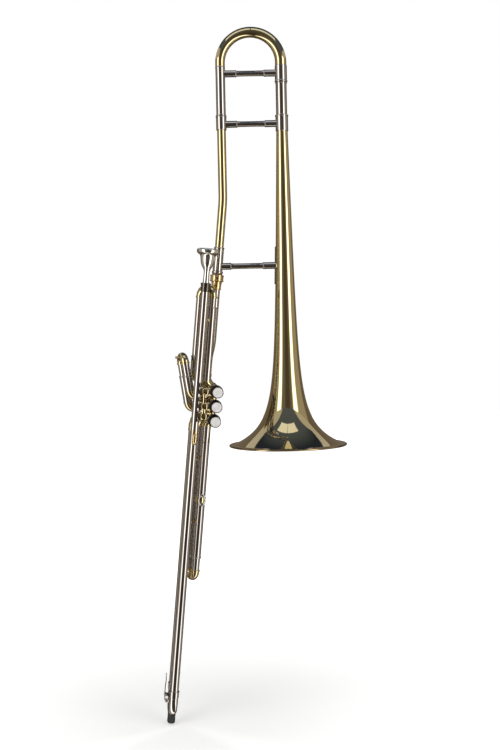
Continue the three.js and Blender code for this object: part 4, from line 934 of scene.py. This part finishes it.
def makeValves():
    v, b = valve, button
    top, bottom, radius, pearl = v["top"], v["bottom"], b["radius"], b["pearl"]
    casing = turnedPiece("valveCasing", [
        (v["casing"], top + 9), (v["casing"], bottom - 9), *near(v["casing"], bottom, (-0.25, -8.6), (-0.25, 0)),
        (v["bore"], bottom), (v["bore"], top), *near(v["casing"], top, (-0.25, 0), (-0.25, 8.6))], 64)
    topCap = capPiece("top", top, -1)
    bottomCap = capPiece("bottom", bottom, 1)
    stem = turnedPiece("valveStem", [
        (0, -37.9), (7.2, -37.9), (7.2, -40.5), (2.9, -40.5), (2.4, -41.2), (2.4, -60.8), (2.1, -61.2), (1.9, -62.7),
        (0, -62.7)], 32)
    low, high = b["base"], b["base"] - b["height"]
    knob = turnedPiece("valveButton", [
        (0, low), *near(b["neck"], low, (0, 0), (0, -1.0), (0.6, -1.6)),
        *near(radius, low, (-1.2, -2.2), (-0.2, -2.8), (0, -3.5)),
        *near(radius, high, (0, 0.8), (-0.35, 0.2), (-0.7, 0)),
        *near(pearl, high, (0.2, 0.1), (0, 0.5), (0, 1.3)), (0, high + 1.3)], 64)
    inlay = turnedPiece("buttonPearl", [
        (0, high + 1.25), *near(pearl, high, (-0.05, 1.25), (-0.05, 0.75), (-0.5, 0.45)), (pearl * 0.6, high + 0.22),
        (0, high + 0.12)], 64)
    face, end = top - cap["topPlate"], top - cap["topPlate"] - b["washer"]
    washer = turnedPiece("capWasher", [
        *near(0, face, (2.8, 0.3), (6.2, 0.3), (6.6, 0)), *near(0, end, (6.6, 0.5), (6.1, 0), (2.8, 0))])
    for number, drop in enumerate(v["drops"], 1):
        body = frame["nodes"][f"piston_{number}"]["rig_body"]
        # top caps and button rims take the nickel with painted shade
        for model, finish, node, rides, edge in (
                (casing, "nickel", f"valve_casing_{number}", "valve_section", 0.08),
                (topCap, "nickel_painted_shade", f"top_cap_{number}", "valve_section", 0),
                (bottomCap, "nickel", f"bottom_cap_{number}", "valve_section", 0),
                (washer, "rubber", None, "valve_section", 0),
                (stem, "nickel", f"valve_stem_{number}", body, 0),
                (knob, "nickel_painted_shade", None, body, 0.08),
                (inlay, "button_pearl", f"valve_button_{number}", body, 0)):
            piece = applyPlace(copyOf(model, f"{model.name}{number}"), moved(v["side"], 0, -drop) @ zToDepth)
            fit(piece, finish, node, rides, edge=edge, smooth=38)
    for model in (casing, topCap, bottomCap, stem, knob, inlay, washer):
        bpy.data.objects.remove(model)


makeValves()
print("valves made")


# Small parts: posts, stays, ring band, finger hook and water keys

post = {"radius": 2.4, "foot": 4.2, "footHeight": 1.0, "lead": -49, "outlet": -45, "third": (-283, -391)}


def makePost(name, start, startRadius, end, endRadius, height, node=None):
    radius, foot = post["radius"], post["foot"]
    start, end = Vector((start[0], start[1], height)), Vector((end[0], end[1], height))
    length = (end - start).length
    low, high = startRadius + post["footHeight"], length - endRadius - post["footHeight"]
    piece = turnedPiece(name, [
        (0, 0), (foot, 0), *near(foot, low, (0, -0.5), (-0.3, -0.1)), *near(radius, low, (0.7, 0.2), (0, 0.8)),
        (radius * 0.88, (low + high) / 2), *near(radius, high, (0, -0.8), (0.7, -0.2)),
        *near(foot, high, (-0.3, 0.1), (0, 0.5)), (foot, length), (0, length)], 32)
    applyPlace(piece, aimed(start, end - start))
    reach = Vector((0, 0, 7))
    cutAway(piece, roundCutter(startRadius - 0.1, start - reach, start + reach),
            roundCutter(endRadius - 0.1, end - reach, end + reach))
    fit(piece, "lacquered_brass", node)


def makePosts():
    lead, firstRight, thirdDeep = (0, 0), sleeveEnd("first", "right"), sleeveEnd("third", "deep")
    sleeve, outletAt = valve["sleeve"], neckInSection[:2]
    makePost("leadPost", lead, leg["top"], firstRight, sleeve, post["lead"], "lead_post")
    makePost("outletPost", firstRight, sleeve, outletAt, valve["knuckle"], post["outlet"], "outlet_post")
    for number, height in enumerate(post["third"], 1):
        makePost(f"thirdPost{number}", lead, leg["base"], thirdDeep, sleeve, height)


stay = {"drops": (169, 194, 211), "foot": 5.9, "bar": 4.6, "shape": (1.4, 0.85), "depth": -1.5, "link": 4.0}


def makeStays():  # flanged bars from the lead tube to the casings, and a link along them
    foot, bar, depth = stay["foot"], stay["bar"], stay["depth"]
    start, end = leg["top"], valve["side"] - valve["casing"]
    for number, drop in enumerate(stay["drops"]):
        piece = turnedPiece(f"casingStay{number + 1}", [
            (0, start - 6), *near(foot, start, (0, -6), (0, 0.9), (-0.4, 1.3)),
            *near(bar, start, (0.6, 1.6), (0, 2.6)),
            (bar - 0.2, (start + end) / 2), *near(bar, end, (0, -2.6), (0.6, -1.6)),
            *near(foot, end, (-0.4, -1.3), (0, -0.9), (0, 6)), (0, end + 6)], 40)
        applyPlace(piece, moved(0, depth, -drop) @ quarterY @ Matrix.Diagonal((*stay["shape"], 1, 1)))
        cutAway(piece, roundCutter(start - 0.1, (0, 0, -drop - 15), (0, 0, -drop + 15)), casingCutter(number))
        fit(piece, "lacquered_brass", edge=0.1)
    link, top, bottom = stay["link"], -stay["drops"][0], -stay["drops"][-1]
    piece = turnedPiece("stayLink", [
        (0, bottom - 3), *near(link, bottom, (-0.8, -2.6), (0, -1.8), (0, 6), (-0.7, 7.2)),
        *near(link, top, (-0.7, -7.2), (0, -6), (0, 1.8), (-0.8, 2.6)), (0, top + 3)], 40)
    applyPlace(piece, moved((start + end) / 2, depth, 0) @ Matrix.Diagonal((1, 0.75, 1, 1)))
    fit(piece, "lacquered_brass")


band = {"height": -353, "radius": 7.55, "wall": 1.1, "length": 9, "ring": (5.6, 8.7), "wire": 1.1, "aside": 1.2}


def makeRingBand():
    b = band
    half, outer = b["length"] / 2, b["radius"] + b["wall"]
    at = sleeveEnd("third", "near")
    at.z = b["height"]
    cuff = turnedPiece("ringCuff", [
        (b["radius"], -half), *near(outer, -half, (-0.2, 0), (0.1, 0.4), (0.1, 1.2), (-0.2, 1.6)),
        *near(outer, half, (-0.2, -1.6), (0.1, -1.2), (0.1, -0.4), (-0.2, 0)), (b["radius"], half)])
    applyPlace(cuff, moved(*at))
    centre = at + Vector((b["aside"], -outer - b["wire"] * 0.4, 0))
    wide, high = b["ring"]
    ring = startTube("ringLoop", centre + Vector((wide, 0, 0)), up, b["wire"], 16)["piece"]
    bpy.ops.mesh.spin(steps=48, angle=math.tau, center=centre * mm, axis=(0, 1, 0))
    bpy.ops.mesh.select_all(action="SELECT")
    resize((1, 1, high / wide), centre)
    fit(applyPlace(closeUp(ring)), "silver")
    fit(cuff, "lacquered_brass", "ring_band")


hook = {
    "middle": -247, "height": 24, "width": 5.6, "reach": 19, "thickness": 2.6, "lip": 10, "plate": 6.8,
    "plateWall": 1.1, "overlap": 0.6}


def makeHook():
    h = hook
    thick, seat, low = h["thickness"], leg["top"], h["middle"] - h["height"] / 2
    bendRadius = h["reach"] / 2 - thick / 2
    strip = startTube("fingerHook", (0, h["overlap"] - seat, low + thick / 2), (0, -1, 0), thick / 2, 16)
    resize((h["width"] / thick, 1, 1), strip["at"])  # a flat oval
    goAhead(strip, h["reach"] - h["overlap"] - thick / 2 - bendRadius)
    bendTube(strip, bendRadius, math.pi / 2, up, stepAngle=9)
    goAhead(strip, h["lip"] - 2.0)
    for ahead, ratio in ((1.0, 0.93), (0.6, 0.8), (0.3, 0.6)):  # a rounded end
        goAhead(strip, ahead)
        resize((ratio, ratio, 1), strip["at"])
    arm = endBar(strip)
    tube = startTube("hookPlate", (0, 0, low), up, seat + 1.0, 48)  # long foot on the lead tube
    goAhead(tube, h["height"])
    plate = endTube(tube, h["plateWall"])
    edit(plate)
    half = h["plate"] / 2 * mm
    for at, normal in (((0, 0, 0), (0, 1, 0)), ((half, 0, 0), (1, 0, 0)), ((-half, 0, 0), (-1, 0, 0))):
        bpy.ops.mesh.select_all(action="SELECT")
        bpy.ops.mesh.bisect(plane_co=at, plane_no=normal, clear_outer=True, use_fill=True)
    fit(closeUp(plate), "gold_brass", edge=0.3)
    fit(arm, "gold_brass", "finger_hook", smooth=50)


key = {
    "reach": 6.0, "pin": 1.2, "width": 5.0, "post": 1.6, "postLength": 3.5, "foot": 7.0,
    "lever": 33, "arm": 11, "thickness": 1.6, "cup": 3.6, "touch": 3.5, "nipple": 2.6, "nippleReach": 2.2,
    "runs": ((5, 0.92, 0.15), (7, 0.85, -0.2), (8, 0.85, -0.5), (7, 0.95, 0.1))}  # length, width share and rise


# Moves a piece modelled with +Z outward and +X along the lever
def keyPlace(at, outward, along):
    turn = Matrix((along, -outward.cross(along), outward)).transposed().to_4x4()
    return sectionPlace @ moved(*at) @ turn


def boxPiece(name, size, at):
    return applyPlace(newPiece(
        name, bpy.ops.mesh.primitive_cube_add, size=1, location=Vector(at) * mm, scale=Vector(size) * mm))


def facesUp(place, normal):
    return normal.z > 0.9


def makeSaddle(name, place, body):
    k = key
    side = k["width"] / 2 + 0.3 + k["post"] / 2
    height = k["reach"] + k["pin"] + 1.4
    foot = boxPiece(name, (k["foot"], side * 2 + k["post"], 1.2), (0, 0, 0.2))
    editFaces(foot, facesUp)
    bpy.ops.mesh.inset(thickness=0.9 * mm, depth=0.4 * mm)
    setMode("OBJECT")
    bevel(foot, 0.3)
    posts = []
    for y in (-side, side):  # each post stands on the foot, narrows, and is rounded over at the pin
        upright = boxPiece(name + "Post", (k["postLength"] + 1.6, k["post"], 1), (0, y, 0.5))
        editFaces(upright, facesUp)
        extrude(0, 0, 1.6)
        resize((0.64, 1, 1), (0, y, 2.6))
        extrude(0, 0, height - 3.8)
        extrude(0, 0, 1.2)
        resize((0.45, 1, 1), (0, y, height))
        setMode("OBJECT")
        bevel(upright, 0.25)
        posts.append(upright)
    pin = turnedPiece(name + "Pin", [
        *near(0, -side, (0, -1.3), (1.5, -1.3), (1.9, -1.0), (1.9, -0.8), (k["pin"], -0.7)),
        *near(0, side, (k["pin"], 0.9), (0.8, 1.2), (0, 1.2))], 24)
    applyPlace(pin, moved(0, 0, k["reach"]) @ zToDepth)
    nipple = turnedPiece(name + "Nipple", [
        (1.0, -0.6), (3.4, -0.6), (3.4, 0.2), (k["nipple"], 0.8),
        *near(k["nipple"], k["nippleReach"], (-0.3, -0.2), (-0.6, 0)),
        *near(1.0, k["nippleReach"], (0.2, 0), (0, -0.3))], 32)
    applyPlace(nipple, moved(-k["arm"], 0, 0))
    settle(joinPieces(foot, *posts, pin, nipple), "nickel", body=body, place=place)


def makeKey(name, place, node):
    k = key
    level, thick, width = k["reach"], k["thickness"], k["width"] / 2
    top = level + thick * 1.5
    lever = boxPiece(name, (4, k["width"] * 0.72, thick), (1, 0, top - thick / 2))
    at = 3.0
    for length, ratio, rise in k["runs"]:
        editFaces(lever, lambda place, normal: normal.x > 0.7 and place.x > at - 1.2)
        extrude(length, 0, rise)
        resize((1, ratio, 0.97), (at + length, 0, top - thick / 2))
        setMode("OBJECT")
        at += length
    editFaces(lever, lambda place, normal: normal.x < -0.7)
    extrude(-6, 0, -0.6)
    extrude(7.0 - k["arm"], 0, -0.6)
    setMode("OBJECT")
    bevel(lever, 0.35, 50)
    touch = turnedPiece(name + "Touch", near(0, top, (0, -1.75), (2.6, -1.7), (k["touch"] - 0.2, -1.2), (
        k["touch"], -0.9), (k["touch"] - 0.3, -0.45), (1.6, -0.2), (0, -0.25)), 32)
    applyPlace(touch, moved(k["lever"], 0, 0))
    hole = k["pin"] + 0.15
    hub = turnedPiece(name + "Hub", [
        *near(0, -width, (hole, 0), (2.6, 0), (2.9, 0.3), (2.6, 0.9)),
        *near(0, width, (2.6, -0.9), (2.9, -0.3), (2.6, 0), (hole, 0))], 32)
    applyPlace(hub, moved(0, 0, level) @ zToDepth)
    low = k["nippleReach"]
    cup = turnedPiece(name + "Cup", [
        *near(0, low, (2.9, 1.6), (0, 1.6)),
        *near(0, level, (0, 0.6), (1.6, 0.5), (k["cup"] - 0.7, -0.2), (k["cup"], -1.2)),
        *near(0, low, (k["cup"], 0.5), (2.9, 0.5))], 32)
    pad = turnedPiece(name + "Pad", near(0, low, (0, 0.25), (2.5, 0.3), (2.8, 0.6), (2.8, 1.6), (0, 1.6)), 32)
    for piece in (cup, pad):
        applyPlace(piece, moved(-k["arm"], 0, 0))
    settle(pad, "rubber", body=frame["nodes"][node]["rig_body"], place=place)
    settle(joinPieces(lever, touch, hub, cup), "nickel", node, place=place)


def makeKeys():
    place = keyPlace((-bow["ferrule"], 0, 3 - leg["length"]), -right, up)
    makeSaddle("bowSaddle", place, "valve_section")
    makeKey("bowKey", place, "bow_water_key")
    deep = sleeveEnd("third", "deep")
    across = sleeveEnd("third", "near") - deep
    outward = Vector((across.y, -across.x, 0)).normalized()
    at = deep + outward * slides["tube"]
    at.z = across.length / 2 + slides["tube"] - slides["reach"]["third"][0] + key["arm"]
    place = keyPlace(at, outward, up)
    makeSaddle("thirdSaddle", place, "third_slide")
    makeKey("thirdKey", place, "third_water_key")


makePosts()
makeStays()
makeRingBand()
makeHook()
makeKeys()
print("small parts made")

# Hidden parts keep their solids and get their finish
for name, node in frame["nodes"].items():
    if not node.hide_render:
        kind = "spring_steel" if "spring" in name else "lacquered_brass" if "guide" in name else "nickel"
        node.data.materials.clear()
        node.data.materials.append(finishes[kind])
        print("solid kept:", name, kind)


# Studio: pale floor, white surroundings, soft lights, and cards that only reflections show

studio = {
    "floor": -0.4712, "floorSize": 14, "floorTone": (0.95, 0.95, 0.945, 1), "floorRoughness": 0.9,
    "floorSpecular": 0.1, "fill": 0.35, "floorLift": (0.36, 0.95), "liftFrom": 0.12, "liftTo": 1.1,
    "foot": (-0.17, 0.0, 0.0)}


# Share 1 for rays from the camera and for reflections, 0 for light that falls on the object
def seenShare(tree):
    path = tree.nodes.new("ShaderNodeLightPath").outputs
    share = mathNode(tree, "MAXIMUM", path["Is Camera Ray"], path["Is Glossy Ray"])
    return mathNode(tree, "MAXIMUM", share, path["Is Transmission Ray"])


def makeFloor():
    s = studio
    floor = newPiece("paleFloor", bpy.ops.mesh.primitive_plane_add, size=s["floorSize"], location=(0, 0, s["floor"]))
    material, tree = newMaterial("floorPaint")
    away = addNode(tree, "VectorMath", {0: objectPlace(tree), 1: s["foot"]}, "Value", operation="DISTANCE")
    lift = ranged(tree, away, s["liftFrom"], s["liftTo"], *s["floorLift"])  # white grows away from the object's foot
    setInputs(tree, tree.nodes["Principled BSDF"], {
        "Base Color": s["floorTone"], "Roughness": s["floorRoughness"], "Specular IOR Level": s["floorSpecular"],
        "Emission Color": (1, 1, 1, 1), "Emission Strength": mathNode(tree, "MULTIPLY", lift, seenShare(tree))})
    floor.data.materials.append(material)


# What only reflections see: a drum and a floor whose light goes with the direction round the object
white, cream, pale = (1, 1, 1), (1.0, 0.92, 0.78), (1.0, 0.95, 0.84)
warm, warmer, amber = (1.0, 0.93, 0.80), (1.0, 0.82, 0.64), (1.0, 0.82, 0.62)
blue, deepBlue = (0.55, 0.70, 1.0), (0.43, 0.57, 1.0)
around = {
    "centre": (-0.08, 0.0, 0.0), "radius": 2.6, "low": -0.45, "high": 1.6, "peak": 3.6, "vertices": 96,
    "foot": (-0.19, -0.03, 0.0), "floorRadius": 3.2, "floorGap": 0.001, "floorPeak": 2.9,
    "floorDim": 0.21, "floorShare": 0.6,  # bands up to this strength are dimmer on the floor
    "bands": (  # degrees from the camera's side, left negative; tone; strength
        (-180, amber, 0.17), (-114, amber, 0.17), (-106, cream, 0.42), (-66, cream, 0.42), (-56, white, 3.6),
        (-45, white, 3.6), (-35, pale, 0.20), (-15, warm, 0.16), (-10, warmer, 0.09), (14, warmer, 0.09),
        (20, warm, 0.16), (33, pale, 0.20), (43, white, 3.6), (54, white, 3.6), (64, cream, 0.42),
        (106, cream, 0.42), (114, amber, 0.17), (180, amber, 0.17))}
ceiling = {
    "height": 1.6, "peak": 1.0, "surround": (1.0, 0.97, 0.92), "surroundStrength": 0.55, "surroundSize": 8,
    "bands": ((-2.6, blue, 0.19), (0.0, blue, 0.16), (1.1, deepBlue, 0.05), (2.4, deepBlue, 0.05)),
    "corners": ((-1.36, -2.6), (1.6, -2.6), (1.5, 0.85), (0.98, 1.5), (0.68, 1.85), (-0.52, 1.85), (-0.8, 1.4), (
        -1.25, 0.75))}


# Light along a ramp of bands, from a value that goes from the first band's place to the last one's
def glowPaint(name, bands, peak, valueFrom):
    material, tree = newMaterial(name)
    first, last = bands[0][0], bands[-1][0]
    ramp = tree.nodes.new("ShaderNodeValToRGB")
    elements = ramp.color_ramp.elements
    for place, tone, strength in bands[1:-1]:
        elements.new((place - first) / (last - first))
    for element, (place, tone, strength) in zip(elements, bands):
        element.color = tuple(part * strength / peak for part in tone) + (1,)
    setInputs(tree, ramp, {"Fac": ranged(tree, valueFrom(tree), first, last)})
    glow = addNode(tree, "Emission", {"Strength": peak, "Color": ramp.outputs["Color"]})
    setInputs(tree, tree.nodes["Material Output"], {"Surface": glow})
    return material


def offsetAlong(tree, centre, axis):
    away = addNode(tree, "VectorMath", {0: objectPlace(tree), 1: centre}, operation="SUBTRACT")
    return addNode(tree, "SeparateXYZ", {"Vector": away}, axis)


def directionRound(centre):  # degrees round a centre, 0 towards the camera, 90 to its right
    def value(tree):
        towards = mathNode(tree, "MULTIPLY", offsetAlong(tree, centre, "Y"), -1.0)
        return mathNode(tree, "DEGREES", mathNode(tree, "ARCTAN2", offsetAlong(tree, centre, "X"), towards))
    return value


def showToReflections(piece, *paint):
    piece.data.materials.append(glowPaint(*paint))
    for rays in ("camera", "diffuse", "shadow", "transmission"):
        setattr(piece, "visible_" + rays, False)


def makeReflections():
    a, c = around, ceiling
    depth = a["high"] - a["low"]
    drum = newPiece(
        "reflectedDrum", bpy.ops.mesh.primitive_cylinder_add, vertices=a["vertices"], radius=a["radius"], depth=depth,
        end_fill_type="NOTHING", location=(*a["centre"][:2], a["low"] + depth / 2))
    showToReflections(applyPlace(drum), "drumGlow", a["bands"], a["peak"], directionRound(a["centre"]))
    disc = newPiece(
        "reflectedFloor", bpy.ops.mesh.primitive_circle_add, vertices=a["vertices"], radius=a["floorRadius"],
        fill_type="NGON", location=(*a["foot"][:2], studio["floor"] + a["floorGap"]))
    floorBands = [
        (place, tone, min(strength, a["floorPeak"]) if strength > a["floorDim"] else strength * a["floorShare"])
        for place, tone, strength in a["bands"]]
    showToReflections(applyPlace(disc), "discGlow", floorBands, a["peak"], directionRound(a["foot"]))

    def alongDepth(tree):
        return offsetAlong(tree, (0, 0, 0), "Y")
    card = newPiece(
        "reflectedCeiling", bpy.ops.mesh.primitive_circle_add, vertices=len(c["corners"]), fill_type="NGON")
    for vertex, (x, y) in zip(card.data.vertices, c["corners"]):
        vertex.co = (x, y, c["height"])
    showToReflections(card, "ceilingGlow", c["bands"], c["peak"], alongDepth)
    card = newPiece("reflectedSurround", bpy.ops.mesh.primitive_plane_add, size=c["surroundSize"],
                    location=(0, 0, c["height"] + 0.1))
    even = [(place, c["surround"], c["surroundStrength"]) for place in (-4, 4)]
    showToReflections(applyPlace(card), "surroundGlow", even, c["peak"], alongDepth)


lamps = {  # place, target, size and power
    "topSoftboxLeft": ((-0.37, -0.59, 1.5), (-0.37, -0.59, 0), (0.64, 0.70), 1.3),
    "topSoftboxRight": ((0.29, -0.59, 1.5), (0.29, -0.59, 0), (0.64, 0.70), 1.3),
    "leftSoftbox": ((-1.70, -1.55, 0.5), (-0.1, 0, 0.5), (1.45, 1.9), 21),
    "rightSoftbox": ((1.54, -1.55, 0.5), (-0.1, 0, 0.5), (1.45, 1.9), 19)}


def makeLamps():
    for name, (at, target, size, power) in lamps.items():
        lamp = newPiece(name, bpy.ops.object.light_add, type="AREA", location=at)
        lamp.data.shape = "RECTANGLE"
        lamp.data.size, lamp.data.size_y = size
        lamp.data.energy = power
        lamp.visible_glossy = "top" in name  # the side lamps' reflections come from the drum
        lamp.rotation_euler = (Vector(target) - Vector(at)).to_track_quat("-Z", "Y").to_euler()


def makeWorld():
    world = bpy.data.worlds.new("studioWorld")
    bpy.context.scene.world = world
    world.use_nodes = True
    tree = world.node_tree
    setInputs(tree, tree.nodes["Background"], {
        "Color": (1, 1, 1, 1), "Strength": ranged(tree, seenShare(tree), 0, 1, studio["fill"], 1.0)})


viewpoint = {
    "at": (-0.0780, -1.870, 0.1901), "pitch": -2.056, "yaw": 0.453, "roll": -1.189, "lens": 52.21, "sensor": 36}


def makeCamera():
    camera = newPiece("mainCamera", bpy.ops.object.camera_add, location=viewpoint["at"])
    pitch, yaw, roll = (math.radians(viewpoint[name]) for name in ("pitch", "yaw", "roll"))
    ahead = Vector((math.sin(yaw) * math.cos(pitch), math.cos(yaw) * math.cos(pitch), math.sin(pitch)))
    level = ahead.cross(up).normalized()
    upright = level.cross(ahead)
    side = level * math.cos(roll) + upright * math.sin(roll)
    above = upright * math.cos(roll) - level * math.sin(roll)
    camera.rotation_euler = Matrix((side, above, -ahead)).transposed().to_euler()
    camera.data.sensor_fit = "VERTICAL"
    camera.data.sensor_height = viewpoint["sensor"]
    camera.data.lens = viewpoint["lens"]
    bpy.context.scene.camera = camera


makeFloor()
makeReflections()
makeLamps()
makeWorld()
makeCamera()
bpy.context.scene.view_settings.view_transform = "Standard"
print("studio made")
